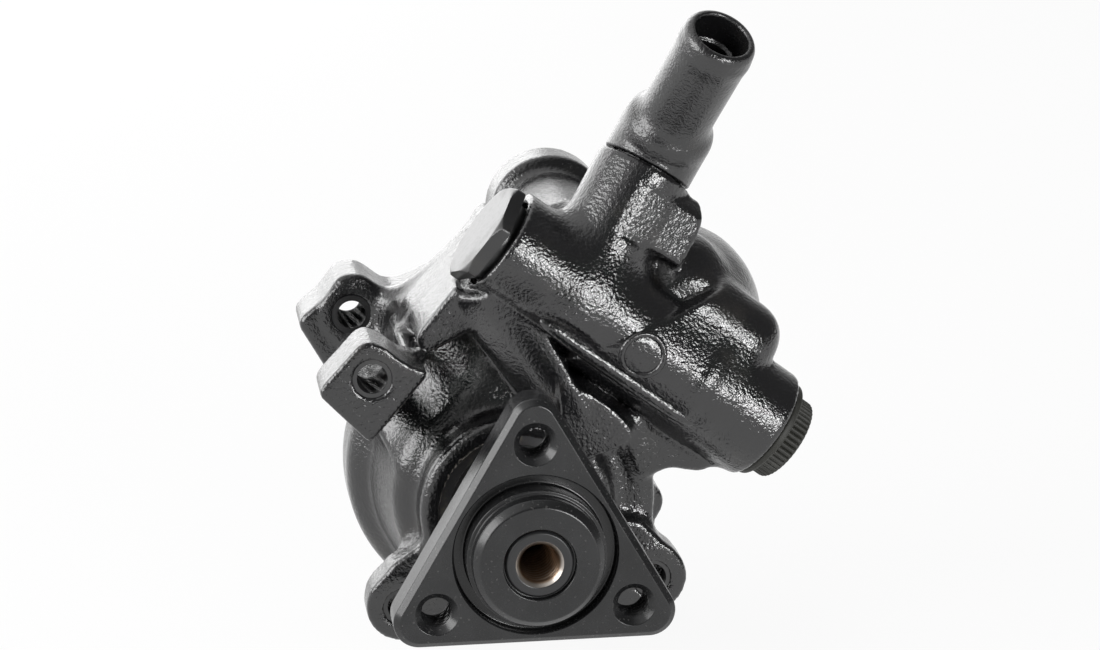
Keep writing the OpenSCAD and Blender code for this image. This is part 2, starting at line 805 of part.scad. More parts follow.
module vane_09() {
    vane(8);
}

module vane_10() {
    vane(9);
}

module end_cover() {
    groove_y = cover_seal_y - cover_seal_w / half;
    color("#55565a") difference() {
        rod_y(0, cover_y, 0, plate_r, cover_t);
        ring_y(groove_y, cover_seal_w, chamber_r + 1, chamber_r - cover_seal_r * half);
        rod_y(0, cover_y + cover_t - half, 0, chamber_r / half, half + 1);
    }
}

module cover_o_ring() {
    color("#151515") along_y(0, cover_seal_y, 0) rotate_extrude()
        translate([chamber_r - cover_seal_r - press_gap, 0])
        circle(r = cover_seal_r - press_gap, $fn = hull_fn);
}

module cover_ring() {
    outer = chamber_r + cover_groove - press_gap;
    color("#5a5a5c") difference() {
        ring_y(cover_ring_y, cover_ring_t - press_gap, outer, chamber_r - cover_ring_band);
        translate([-cover_ring_cut / half, cover_ring_y - 1, -chamber_r * half])
            cube([cover_ring_cut, cover_ring_t + half, chamber_r * half]);
    }
}

module pipe_solid() {
    in_boss(-spigot_len) cylinder(h = spigot_len + joint_gap + 1, r = spigot_r);
    in_boss(joint_gap) cylinder(h = collar_rise - joint_gap, r = collar_r);
    in_boss(collar_rise) sphere(r = collar_r + bend_swell);
    in_pipe(0) cylinder(h = collar_len, r = collar_r);
    in_pipe(0) cylinder(h = hose_len - hose_round, r = hose_r);
    in_pipe(hose_len - hose_round) cylinder(h = hose_round, r1 = hose_r, r2 = hose_r - hose_round);
    in_pipe(bead_from) cylinder(h = bead_w, r1 = hose_r, r2 = hose_r + hose_bead);
    in_pipe(bead_from + bead_w) cylinder(h = half, r1 = hose_r + hose_bead, r2 = hose_r);
}

module suction_pipe() {
    seal_band = suction_seal_wire * half;
    color("#2d2d2f") difference() {
        pipe_solid();
        in_boss(-spigot_len - 1) cylinder(h = spigot_len + collar_rise + 1, r = spigot_bore_r);
        in_boss(collar_rise) sphere(r = spigot_bore_r + bend_swell);
        in_pipe(0) cylinder(h = hose_len + 1, r = hose_bore_r - hose_step);
        in_pipe(bead_from) cylinder(h = hose_len, r = hose_bore_r);
        in_boss(-suction_seal_at - suction_seal_wire) difference() {
            cylinder(h = seal_band, r = spigot_r + 1);
            translate([0, 0, -small])
                cylinder(h = seal_band + small * half, r = spigot_r - seal_band + press_gap);
        }
    }
}

module suction_o_ring() {
    color("#151515") in_boss(-suction_seal_at) rotate_extrude()
        translate([spigot_r - suction_seal_wire + press_gap, 0])
        circle(r = suction_seal_wire - press_gap, $fn = hull_fn);
}

module valve_plug() {
    color("#333436") difference() {
        union() {
            in_valve(valve_start - plug_head_t) cylinder(h = plug_head_t, d = plug_flats / cos(30), $fn = 6);
            in_valve(valve_start - half) cylinder(h = plug_thread + half, r = plug_thread_r);
        }
        in_valve(valve_start) difference() {
            cylinder(h = plug_seal_groove, r = plug_thread_r + half);
            translate([0, 0, -small])
                cylinder(h = plug_seal_groove + small * half, r = plug_seal_r - plug_seal_wire - press_gap);
        }
        in_valve(plug_inner - plug_pocket) cylinder(h = plug_pocket + 1, r = spring_pocket_r);
    }
}

module valve_plug_o_ring() {
    color("#151515") in_valve(plug_seal_mid) rotate_extrude()
        translate([plug_seal_r, 0]) circle(r = plug_seal_wire, $fn = hull_fn);
}

module flow_valve_spool() {
    color("#aeb0b3") difference() {
        union() {
            in_valve(spool_start) cylinder(h = spool_len, r = spool_r);
            in_valve(spool_end - 1) cylinder(h = spool_nose + 1, r = spool_r / half);
        }
        in_valve(spool_start - 1) cylinder(h = spool_pocket + 1, r = spring_pocket_r);
        in_valve(spool_start + spool_pocket + half) difference() {
            cylinder(h = spool_groove_w, r = spool_r + 1);
            translate([0, 0, -small]) cylinder(h = spool_groove_w + small * half, r = spool_r - spool_groove);
        }
    }
}

// spring_section is the piece of ring that one turn of square wire sweeps
module spring_section() {
    steps = 4;
    polygon(concat(
        [for (k = [0 : steps]) ring_pt(spring_r, k * spring_angle / steps)],
        [for (k = [steps : -1 : 0]) ring_pt(spring_r - spring_wire, k * spring_angle / steps)]
    ));
}

module flow_valve_spring() {
    turn = -360 * spring_coils;
    steps = spring_coils * spring_slices;
    color("#8d8e91") in_valve(spring_start)
        linear_extrude(height = spring_len, twist = turn, slices = steps, $fn = spring_fn) spring_section();
}

// rib_outline is the serrated outline of the outlet plug head
module rib_outline() {
    polygon([for (k = [0 : outlet_ribs * half - 1])
        ring_pt(outlet_head_r - (k % half) * rib_depth, k * 180 / outlet_ribs)]);
}

module outlet_plug() {
    color("#23251d") difference() {
        union() {
            in_valve(valve_end) cylinder(h = outlet_flange_t, r = outlet_flange_r);
            in_valve(valve_end + outlet_flange_t - 1) linear_extrude(outlet_head_t + 1) rib_outline();
            in_valve(outlet_bore_start + 1) cylinder(h = valve_end - outlet_bore_start, r = outlet_r);
        }
        in_valve(valve_end + outlet_flange_t + outlet_head_t - outlet_step)
            translate([outlet_head_r * 0.42, -outlet_head_r * half, 0])
            cube([outlet_head_r * half, outlet_head_r * 4, outlet_head_t]);
    }
}

housing();
drive_hub();
drive_shaft();
bearing_inner_ring();
bearing_outer_ring();
bearing_balls();
bearing_cage();
bearing_shield();
bearing_circlip();
shaft_seal();
shaft_bush();
front_plate();
cam_ring();
rear_plate();
dowel_pins();
rotor();
rotor_circlip();
vane_01();
vane_02();
vane_03();
vane_04();
vane_05();
vane_06();
vane_07();
vane_08();
vane_09();
vane_10();
end_cover();
cover_o_ring();
cover_ring();
suction_pipe();
suction_o_ring();
valve_plug();
valve_plug_o_ring();
flow_valve_spool();
flow_valve_spring();
outlet_plug();
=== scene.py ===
"""Looks of a vane pump for power steering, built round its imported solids.

The casting is an implicit surface worked out on a grid of points, the turned pieces are profiles carried
round an axis, and every finish is made of procedural nodes. Sizes are in millimetres until a mesh is filled.
"""

import json
import logging
import math
from dataclasses import dataclass, field
from enum import Enum
from typing import Any, Sequence

import bmesh
import bpy
import numpy as np
from mathutils import Matrix, Vector
from mathutils.geometry import delaunay_2d_cdt


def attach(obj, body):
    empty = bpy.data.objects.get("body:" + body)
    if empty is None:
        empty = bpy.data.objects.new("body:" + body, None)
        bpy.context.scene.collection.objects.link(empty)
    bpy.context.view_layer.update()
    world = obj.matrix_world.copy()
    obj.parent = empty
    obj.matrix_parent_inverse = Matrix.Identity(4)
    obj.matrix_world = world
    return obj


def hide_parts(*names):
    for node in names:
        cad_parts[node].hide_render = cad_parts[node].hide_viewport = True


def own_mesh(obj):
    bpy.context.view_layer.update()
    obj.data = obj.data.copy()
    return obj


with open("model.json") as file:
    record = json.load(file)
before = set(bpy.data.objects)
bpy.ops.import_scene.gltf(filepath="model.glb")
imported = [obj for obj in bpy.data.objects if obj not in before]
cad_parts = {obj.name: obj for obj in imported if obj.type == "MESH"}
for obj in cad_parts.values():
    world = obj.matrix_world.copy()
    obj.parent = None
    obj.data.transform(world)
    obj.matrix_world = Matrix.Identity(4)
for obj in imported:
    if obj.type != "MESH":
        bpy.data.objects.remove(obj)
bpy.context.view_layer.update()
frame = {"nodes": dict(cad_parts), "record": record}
MM = 0.001
SAME_POINT = 2e-6
NO_LENGTH = 1e-7
LOG = logging.getLogger("pump")
Points = np.ndarray
Outline = Sequence[tuple[float, float]]
Colour = tuple[float, float, float]
SHAFT_AXIS = (0.0, 0.0)
Y_AXIS = np.array([0.0, 1.0, 0.0])
ABOUT_SHAFT = ((1, 0, 0), (0, 0, 1), (0, 1, 0))
THIRDS = [math.radians(90 + 120 * k) for k in range(3)]


def heading(lean: float, turn: float) -> Points:
    """Unit vector that leans from upright towards the rear and turns to the right, in degrees."""
    a, b = math.radians(lean), math.radians(turn)
    return np.array([math.cos(a) * math.sin(b), math.sin(a), math.cos(a) * math.cos(b)])


class Body(Enum):
    """Moving bodies that a piece can ride on."""

    PUMP = "pump_body"
    SHAFT = "shaft_set"


@dataclass(frozen=True)
class Valve:
    """Place of the flow valve: its axis lies in a plane of constant Y and falls to the right."""

    tilt: float = 36.5
    reach: float = 47.3
    y: float = 36.0
    radius: float = 13.0
    start: float = -39.5
    end: float = 37.0

    @property
    def along(self) -> Points:
        """Unit vector along the valve axis, towards the outlet."""
        return heading(0.0, 90.0 + self.tilt)

    @property
    def out(self) -> Points:
        """Unit vector away from the shaft axis, square to the valve axis."""
        return heading(0.0, self.tilt)

    @property
    def centre(self) -> Points:
        """Point of the valve axis nearest to the shaft axis."""
        return self.out * self.reach + np.array([0.0, self.y, 0.0])

    @property
    def axes(self) -> tuple[Points, Points, Points]:
        """Directions that a piece's own X, Y and Z take when its Z lies along the valve."""
        return -self.out, Y_AXIS, self.along

    def at(self, s: float, t: float = 0.0) -> tuple[float, float]:
        """X and Z of the point at s along the axis and t outward from it."""
        p = self.centre + s * self.along + t * self.out
        return float(p[0]), float(p[2])


@dataclass(frozen=True)
class Suction:
    """Axes of the suction boss and of the hose end that leaves it."""

    boss_lean: float = 12.0
    boss_turn: float = 32.0
    boss_at: float = -17.5
    boss_reach: float = 32.6
    rise: float = 6.0
    pipe_lean: float = 33.3
    pipe_turn: float = 20.2

    @property
    def foot(self) -> Points:
        """Point where the boss axis meets the valve axis."""
        return VALVE.centre + self.boss_at * VALVE.along

    @property
    def boss(self) -> Points:
        """Unit vector along the suction boss, towards its mouth."""
        return heading(self.boss_lean, self.boss_turn)

    @property
    def across(self) -> Points:
        """Unit vector square to the boss, towards the outlet."""
        return heading(0.0, 90.0 + self.boss_turn)

    @property
    def behind(self) -> Points:
        """Unit vector square to the boss, towards the rear."""
        return np.cross(self.boss, self.across)

    @property
    def mouth(self) -> Points:
        """Centre of the boss mouth."""
        return self.foot + self.boss_reach * self.boss

    @property
    def bend(self) -> Points:
        """Point where the boss axis and the hose axis cross."""
        return self.mouth + self.rise * self.boss

    @property
    def hose(self) -> Points:
        """Unit vector along the hose end."""
        return heading(-self.pipe_lean, self.pipe_turn)


VALVE = Valve()
SUCTION = Suction()
UPPER_EAR = (-33.0, 34.6)
LOWER_LEFT_EAR = (-26.1, -22.4)
LOWER_RIGHT_EAR = (31.4, -18.4)


def soft_min(a: Points, b: Points, k: float) -> Points:
    """Union of two distance fields with a fillet: the lower value, less k h (1 - h) where they meet.

    Args:
        a: First field.
        b: Second field.
        k: Width of the fillet, about 1.2 times its radius.

    Returns:
        The joined field.
    """
    h = np.clip(0.5 + 0.5 * (b - a) / k, 0.0, 1.0)
    return b + (a - b) * h - k * h * (1.0 - h)


def soft_max(a: Points, b: Points, k: float) -> Points:
    """Intersection of two distance fields with a rounded edge of width k."""
    return -soft_min(-a, -b, k)


def span(place: Points, low: float, high: float) -> Points:
    """Distance outside the stretch from low to high, less than zero within it."""
    return np.abs(place - (low + high) / 2) - (high - low) / 2


def circle(sides: int) -> Points:
    """Angles of evenly spaced points round a circle."""
    return np.linspace(0, 2 * np.pi, sides, endpoint=False)


def about_z(r: Points | float, a: Points, h: Points | float) -> Points:
    """Grid of points about Z: x = r cos a, y = r sin a, z = h."""
    return np.stack(np.broadcast_arrays(r * np.cos(a), r * np.sin(a), h), -1)


def unit(vectors: Points) -> Points:
    """Rows scaled to length one."""
    return vectors / np.linalg.norm(vectors, axis=1)[:, None]


def blur(values: Points, reach: float, axis: int) -> Points:
    """Mean of the values within a reach along one axis, with the ends repeated."""
    n = max(1, int(round(reach)))
    wide = np.pad(values, [(n, n) if k == axis else (0, 0) for k in range(values.ndim)], mode="edge")
    return sum(np.take(wide, range(i, i + values.shape[axis]), axis) for i in range(2 * n + 1)) / (2 * n + 1)


class CastField:
    """Distance field of a casting on a regular grid, added to and cut shape by shape.

    An empty field is FAR everywhere. The skin is drawn on to the surface in PASSES, by MOST millimetres at
    once, and a gradient whose square is below FLAT counts as FLAT.
    """

    FAR = 1e3
    PASSES = 4
    MOST = 0.3
    FLAT = 0.2

    def __init__(self, low: Sequence[float], high: Sequence[float], step: float) -> None:
        """Lays the grid.

        Args:
            low: Lowest corner.
            high: Highest corner.
            step: Distance between neighbouring points.
        """
        self.low, self.step = np.array(low, np.float32), step
        count = [int((h - l) / step) + 1 for l, h in zip(low, high)]
        axes = [np.float32(l) + np.float32(step) * np.arange(n, dtype=np.float32) for l, n in zip(low, count)]
        self.x = axes[0][:, None, None]
        self.y = axes[1][None, :, None]
        self.z = axes[2][None, None, :]
        self.value = np.full(count, self.FAR, np.float32)

    def add(self, shape: Points, fillet: float) -> None:
        """Joins a shape to the casting with a fillet of that width."""
        self.value = soft_min(self.value, np.broadcast_to(shape, self.value.shape), fillet).astype(np.float32)

    def cut(self, shape: Points, edge: float) -> None:
        """Takes a shape out of the casting and rounds the edge that is left."""
        self.value = soft_max(self.value, -shape, edge).astype(np.float32)

    def slab(self, outline: Outline, y0: float, y1: float, corner: float, edge: float) -> Points:
        """Plate with any outline in X and Z: distance to the nearest side, less than zero inside, averaged
        over a small square so that its corners are round, and cut off by the two faces.

        Args:
            outline: Corner points in order.
            y0: Front face.
            y1: Rear face.
            corner: Rounding of the corners of the outline.
            edge: Rounding of the edges of the two faces.

        Returns:
            The field of the plate.
        """
        pts = np.array(outline, np.float32)
        here = np.stack(np.broadcast_arrays(self.x[:, 0, :], self.z[:, 0, :]), -1).reshape(-1, 2)
        near = np.full(len(here), self.FAR, np.float32)
        for p, q in zip(pts, np.roll(pts, -1, axis=0)):
            way = q - p
            t = np.clip(((here - p) @ way) / (way @ way), 0.0, 1.0)
            near = np.minimum(near, np.linalg.norm(here - p - t[:, None] * way, axis=1))
        flat = np.where(inside_loop(here, pts), -near, near).reshape(self.x.shape[0], self.z.shape[2])
        flat = blur(blur(flat, corner / self.step, 0), corner / self.step, 1)[:, None, :]
        return soft_max(flat, span(self.y, y0, y1), edge)

    def rod_y(self, at: tuple[float, float], r: float, y0: float, y1: float, edge: float,
              grow: float = 0.0) -> Points:
        """Round bar along Y between two places, which may grow wider towards the rear."""
        flat = np.sqrt((self.x - at[0]) ** 2 + (self.z - at[1]) ** 2) - r
        flat = (flat - grow * (self.y - y0)) / math.hypot(1.0, grow)
        return soft_max(flat, span(self.y, y0, y1), edge)

    def along(self, origin: Points, axis: Points) -> Points:
        """Distance of each point along an axis from an origin."""
        o = np.asarray(origin, np.float32)
        a = np.asarray(axis, np.float32)
        return (self.x - o[0]) * a[0] + (self.y - o[1]) * a[1] + (self.z - o[2]) * a[2]

    def rod(self, origin: Points, axis: Points, r: float, s0: float, s1: float, edge: float) -> Points:
        """Round bar along any axis, from s0 to s1 past its origin."""
        o = np.asarray(origin, np.float32)
        s = self.along(origin, axis)
        square = (self.x - o[0]) ** 2 + (self.y - o[1]) ** 2 + (self.z - o[2]) ** 2
        side = np.sqrt(np.maximum(square - s * s, 0.0)) - r
        return soft_max(side, span(s, s0, s1), edge)

    def ball(self, centre: Points, r: float) -> Points:
        """Sphere."""
        c = np.asarray(centre, np.float32)
        return np.sqrt((self.x - c[0]) ** 2 + (self.y - c[1]) ** 2 + (self.z - c[2]) ** 2) - r

    def block(self, origin: Points, axes: Sequence[Points], low: Sequence[float], high: Sequence[float],
              edge: float) -> Points:
        """Box along three axes: the greatest of its three slab distances.

        Args:
            origin: Point that the box is measured from.
            axes: Its three unit vectors.
            low: Lowest place along each axis.
            high: Highest place along each axis.
            edge: Rounding of its edges.

        Returns:
            The field of the box.
        """
        out = None
        for axis, l, h in zip(axes, low, high):
            d = span(self.along(origin, axis), l, h)
            out = d if out is None else soft_max(out, d, edge)
        return out

    def sample(self, points: Points) -> tuple[Points, Points]:
        """Value and gradient between grid points, by weighting the eight corners of each cell.

        Args:
            points: Places in millimetres, one per row.

        Returns:
            The values and the gradients.
        """
        g = (points - self.low) / self.step
        i = np.clip(np.floor(g).astype(int), 0, np.array(self.value.shape) - 2)
        f = (g - i).astype(np.float32)
        value = np.zeros(len(points), np.float32)
        grad = np.zeros((len(points), 3), np.float32)
        for corner in np.ndindex(2, 2, 2):
            c = np.array(corner)
            v = self.value[tuple((i + c).T)]
            w = np.where(c, f, 1.0 - f)
            sign = np.where(c, 1.0, -1.0)
            value += v * w.prod(1)
            grad += v[:, None] * sign * np.stack([w[:, 1] * w[:, 2], w[:, 0] * w[:, 2], w[:, 0] * w[:, 1]], 1)
        return value, grad / self.step

    def skin(self) -> "Shell":
        """Surface where the field is zero: one point in each cell that it crosses, at the mean of its edge
        crossings, joined across each crossed grid edge, then drawn on to the surface along the gradient.

        Returns:
            The closed surface with its normals.
        """
        v, inside = self.value, self.value < 0
        count = sum(inside[a:v.shape[0] - 1 + a, b:v.shape[1] - 1 + b, c:v.shape[2] - 1 + c].astype(np.int8)
                    for a, b, c in np.ndindex(2, 2, 2))
        mixed = (count > 0) & (count < 8)
        cells = np.argwhere(mixed)
        index = np.full(mixed.shape, -1, np.int64)
        index[mixed] = np.arange(len(cells))
        total, hits = np.zeros((len(cells), 3)), np.zeros((len(cells), 1))
        unit_steps = np.eye(3, dtype=int)
        for a in np.array(list(np.ndindex(2, 2, 2))):
            for axis in np.flatnonzero(a == 0):
                b = a + unit_steps[axis]
                va, vb = v[tuple((cells + a).T)], v[tuple((cells + b).T)]
                cross = ((va < 0) != (vb < 0))[:, None]
                t = np.where(cross[:, 0], va / np.where(va == vb, 1.0, va - vb), 0.0)[:, None]
                total += np.where(cross, a + t * (b - a), 0.0)
                hits += cross
        points = self.low + self.step * (cells + total / hits)
        quads = []
        for axis in range(3):
            others = (axis + 1) % 3, (axis + 2) % 3
            lo = np.take(inside, range(0, v.shape[axis] - 1), axis)
            hi = np.take(inside, range(1, v.shape[axis]), axis)
            edge = np.argwhere(lo != hi)
            for k in others:
                edge = edge[(edge[:, k] > 0) & (edge[:, k] < v.shape[k] - 1)]
            u, w = unit_steps[list(others)]
            loop = np.stack([index[tuple((edge - o).T)] for o in (0 * u, u, u + w, w)], 1)
            outward = lo[tuple(edge.T)]
            quads.append(np.where(outward[:, None], loop, loop[:, ::-1]))
        for _ in range(self.PASSES):
            value, grad = self.sample(points)
            steep = np.maximum((grad ** 2).sum(1), self.FLAT)[:, None]
            points = points - np.clip(value, -self.MOST, self.MOST)[:, None] * grad / steep
        grad = self.sample(points)[1]
        normals = grad / np.maximum(np.linalg.norm(grad, axis=1), 1e-6)[:, None]
        return Shell(points, np.concatenate(quads), normals=normals)


@dataclass
class Shell:
    """Surface before it is a mesh: points in millimetres, four-sided faces and triangles."""

    points: Points
    quads: Points = field(default_factory=lambda: np.zeros((0, 4), int))
    tris: Points = field(default_factory=lambda: np.zeros((0, 3), int))
    normals: Points | None = None

    @staticmethod
    def grid(points: Points, around: bool = True, along: bool = False) -> "Shell":
        """Faces of a grid of points indexed by two parameters.

        Args:
            points: Array of rows along the profile and columns round it.
            around: Whether the columns close.
            along: Whether the rows close.

        Returns:
            The surface.
        """
        rows, cols = points.shape[:2]
        i = np.arange(rows if along else rows - 1)[:, None]
        j = np.arange(cols if around else cols - 1)[None, :]
        k = lambda a, b: (a % rows) * cols + b % cols
        quads = np.stack([k(i, j), k(i, j + 1), k(i + 1, j + 1), k(i + 1, j)], -1).reshape(-1, 4)
        return Shell(points.reshape(-1, 3), quads)

    @staticmethod
    def join(shells: Sequence["Shell"]) -> "Shell":
        """One surface from several."""
        starts = np.cumsum([0] + [len(s.points) for s in shells])
        return Shell(np.concatenate([s.points for s in shells]),
                     np.concatenate([s.quads + n for s, n in zip(shells, starts)]),
                     np.concatenate([s.tris + n for s, n in zip(shells, starts)]))

    def turned(self) -> "Shell":
        """The same surface with its faces the other way round."""
        return Shell(self.points, self.quads[:, ::-1], self.tris[:, ::-1])

    def placed(self, origin: Points, axes: Sequence[Points]) -> "Shell":
        """The surface with its own X, Y and Z laid along three axes from an origin."""
        return Shell(self.points @ np.array(axes) + np.asarray(origin), self.quads, self.tris)

    def piece(self, name: str, crease: float = 32.0) -> bpy.types.Object:
        """Fills a mesh object, in metres, and closes its seams.

        Args:
            name: Name of the object.
            crease: Angle in degrees above which an edge stays sharp.

        Returns:
            The linked object.
        """
        mesh = bpy.data.meshes.new(name)
        loops = np.concatenate([self.quads.ravel(), self.tris.ravel()]).astype(np.int32)
        sizes = np.concatenate([np.full(len(self.quads), 4), np.full(len(self.tris), 3)]).astype(np.int32)
        mesh.vertices.add(len(self.points))
        mesh.vertices.foreach_set("co", (self.points * MM).astype(np.float32).ravel())
        mesh.loops.add(len(loops))
        mesh.loops.foreach_set("vertex_index", loops)
        mesh.polygons.add(len(sizes))
        mesh.polygons.foreach_set("loop_start", np.concatenate([[0], np.cumsum(sizes)[:-1]]).astype(np.int32))
        mesh.polygons.foreach_set("use_smooth", np.ones(len(sizes), bool))
        mesh.update(calc_edges=True)
        mesh.validate()
        if self.normals is not None:
            mesh.normals_split_custom_set_from_vertices(self.normals.astype(np.float32))
        else:
            weld(mesh)
            mesh.set_sharp_from_angle(angle=math.radians(crease))
        piece = bpy.data.objects.new(name, mesh)
        bpy.context.scene.collection.objects.link(piece)
        return piece


def weld(mesh: bpy.types.Mesh) -> None:
    """Merges points that lie on one another, so that seams and poles close, and drops faces without area."""
    work = bmesh.new()
    work.from_mesh(mesh)
    bmesh.ops.remove_doubles(work, verts=work.verts, dist=SAME_POINT)
    bmesh.ops.dissolve_degenerate(work, dist=NO_LENGTH, edges=work.edges)
    bmesh.ops.recalc_face_normals(work, faces=work.faces)
    work.to_mesh(mesh)
    work.free()


def turned_rows(profile: Points, sides: int) -> Points:
    """Grid of points of a profile, rows of radius and height, carried round Z."""
    return about_z(profile[:, :1], circle(sides), profile[:, 1:2])


def swept(centre: Points, side: Points, up: Points, r: Points | float, sides: int) -> Points:
    """Grid of points of a circle carried along a line: c + r (side cos a + up sin a)."""
    a = circle(sides)[None, :, None]
    return centre[:, None] + r * (np.cos(a) * side[:, None] + np.sin(a) * up[:, None])


def rounded(points: Sequence[tuple[float, float, float]], steps: int = 4) -> Points:
    """Profile whose corners are arcs: each corner with a radius becomes a short quadratic curve.

    Args:
        points: Corners as radius, height and rounding.
        steps: Points on each arc.

    Returns:
        Rows of radius and height.
    """
    p = np.array([q[:2] for q in points], float)
    out = []
    for i, (_, _, rho) in enumerate(points):
        if rho <= 0 or i in (0, len(points) - 1):
            out.append(p[i:i + 1])
            continue
        a, b = p[i - 1] - p[i], p[i + 1] - p[i]
        la, lb = np.hypot(*a), np.hypot(*b)
        start, stop = p[i] + a / la * min(rho, la * 0.49), p[i] + b / lb * min(rho, lb * 0.49)
        t = np.linspace(0, 1, steps + 1)[:, None]
        out.append((1 - t) ** 2 * start + 2 * t * (1 - t) * p[i] + t ** 2 * stop)
    return np.concatenate(out)


def thread_radius(a: Points, h: Points, core: float, depth: float, pitch: float, low: float,
                  high: float) -> Points:
    """Radius of a threaded wall: core plus a triangle wave of (h / pitch - a / turn), faded out at both ends.

    Args:
        a: Angles.
        h: Heights.
        core: Smallest radius.
        depth: Height of the thread.
        pitch: Rise of one turn.
        low: Height where the thread starts.
        high: Height where it ends.

    Returns:
        Radius at each angle and height.
    """
    wave = np.abs(((h / pitch - a / (2 * np.pi)) % 1.0) * 2 - 1)
    fade = np.clip(np.minimum(h - low, high - h) / (0.5 * pitch), 0, 1)
    return core + depth * np.clip(wave * 1.3 - 0.15, 0, 1) * fade


def threaded_wall(core: float, depth: float, pitch: float, low: float, high: float, sides: int = 64,
                  per_turn: int = 10) -> Points:
    """Grid of points of a threaded hole about Z, from low to high."""
    h = np.linspace(low, high, max(3, int((high - low) / pitch * per_turn)))[:, None]
    a = circle(sides)[None, :]
    return about_z(thread_radius(a, h, core, depth, pitch, low, high), a, h)


def ring(r: float, h: float, sides: int = 64, at: tuple[float, float] = (0.0, 0.0)) -> Points:
    """Circle about Z at a height."""
    return about_z(r, circle(sides), h) + np.array([*at, 0.0])


def plate(outer: Points, holes: Sequence[Points], up: bool) -> Shell:
    """Flat face between an outline and the holes in it, cut into triangles.

    Args:
        outer: Points of the outline in order, at one height.
        holes: Points of each hole in order.
        up: Whether the face looks along +Z.

    Returns:
        The face.
    """
    loops = [outer, *holes]
    flat = np.concatenate(loops)
    starts = np.cumsum([0] + [len(q) for q in loops])
    edges = [(int(s + i), int(s + (i + 1) % len(q))) for s, q in zip(starts, loops) for i in range(len(q))]
    verts, _, tris, *_ = delaunay_2d_cdt([tuple(p[:2]) for p in flat], edges, [], 0, NO_LENGTH, False)
    xy = np.array([tuple(v) for v in verts])
    tris = np.array([t for t in tris if len(t) == 3])
    mid = xy[tris].mean(1)
    keep = inside_loop(mid, outer[:, :2])
    for q in holes:
        keep &= ~inside_loop(mid, q[:, :2])
    tris = tris[keep]
    a, b, c = xy[tris[:, 0]], xy[tris[:, 1]], xy[tris[:, 2]]
    left = ((b - a)[:, 0] * (c - a)[:, 1] - (b - a)[:, 1] * (c - a)[:, 0]) > 0
    tris = np.where((left == up)[:, None], tris, tris[:, ::-1])
    return Shell(np.column_stack([xy, np.full(len(xy), outer[0, 2])]), tris=tris)


def inside_loop(points: Points, loop: Points) -> Points:
    """Whether each point lies inside a closed outline, by counting the sides to its right."""
    p, q = loop[None], np.roll(loop, -1, axis=0)[None]
    x, y = points[:, None, 0], points[:, None, 1]
    spans = (p[..., 1] > y) != (q[..., 1] > y)
    dy = np.where(q[..., 1] == p[..., 1], 1.0, q[..., 1] - p[..., 1])
    cross = (q[..., 0] - p[..., 0]) * (y - p[..., 1]) / dy + p[..., 0]
    return ((spans & (x < cross)).sum(1) % 2).astype(bool)


class Value:
    """Number socket of a shader, with arithmetic that adds Math nodes."""

    def __init__(self, shader: "Graph", socket: bpy.types.NodeSocket) -> None:
        """Wraps a socket of a shader."""
        self.shader, self.socket = shader, socket

    def _do(self, operation: str, a: Any, b: Any) -> "Value":
        """One Math node."""
        return self.shader.node("ShaderNodeMath", {"operation": operation}, {0: a, 1: b})

    def __add__(self, other: Any) -> "Value":
        """Sum."""
        return self._do("ADD", self, other)

    def __radd__(self, other: Any) -> "Value":
        """Sum with a plain number first."""
        return self._do("ADD", other, self)

    def __sub__(self, other: Any) -> "Value":
        """Difference."""
        return self._do("SUBTRACT", self, other)

    def __rsub__(self, other: Any) -> "Value":
        """Difference with a plain number first."""
        return self._do("SUBTRACT", other, self)

    def __mul__(self, other: Any) -> "Value":
        """Product."""
        return self._do("MULTIPLY", self, other)

    def __rmul__(self, other: Any) -> "Value":
        """Product with a plain number first."""
        return self._do("MULTIPLY", other, self)

    def limit(self, low: float, high: float) -> "Value":
        """Share of the way from low to high, smoothed and held between 0 and 1."""
        return self.shader.node("ShaderNodeMapRange", {"interpolation_type": "SMOOTHSTEP", "clamp": True},
                                {"Value": self, "From Min": low, "From Max": high})


class Graph:
    """Node tree that is filled node by node."""

    def __init__(self, tree: bpy.types.NodeTree) -> None:
        """Takes over a node tree."""
        self.tree = tree

    def node(self, kind: str, settings: dict[str, Any], sockets: dict[Any, Any], output: Any = 0) -> Value:
        """Adds a node.

        Args:
            kind: Type of the node.
            settings: Attributes that are set first.
            sockets: Values or links by socket name or number.
            output: Output that is handed back.

        Returns:
            The wrapped output.
        """
        made = self.tree.nodes.new(kind)
        for key, value in settings.items():
            setattr(made, key, value)
        for key, value in sockets.items():
            if isinstance(value, Value):
                self.tree.links.new(value.socket, made.inputs[key])
            else:
                made.inputs[key].default_value = value
        return Value(self, made.outputs[output])

    def vector(self, operation: str, sockets: dict[int, Any], output: Any) -> Value:
        """One Vector Math node."""
        return self.node("ShaderNodeVectorMath", {"operation": operation}, sockets, output)

    def ray(self, kind: str) -> Value:
        """One output of the Light Path node."""
        return self.node("ShaderNodeLightPath", {}, {}, kind)

    def seen(self) -> Value:
        """One for rays from the camera and for reflected and refracted ones."""
        shown = self.ray("Is Camera Ray") + self.ray("Is Glossy Ray") + self.ray("Is Transmission Ray")
        return shown.limit(0.0, 1.0)


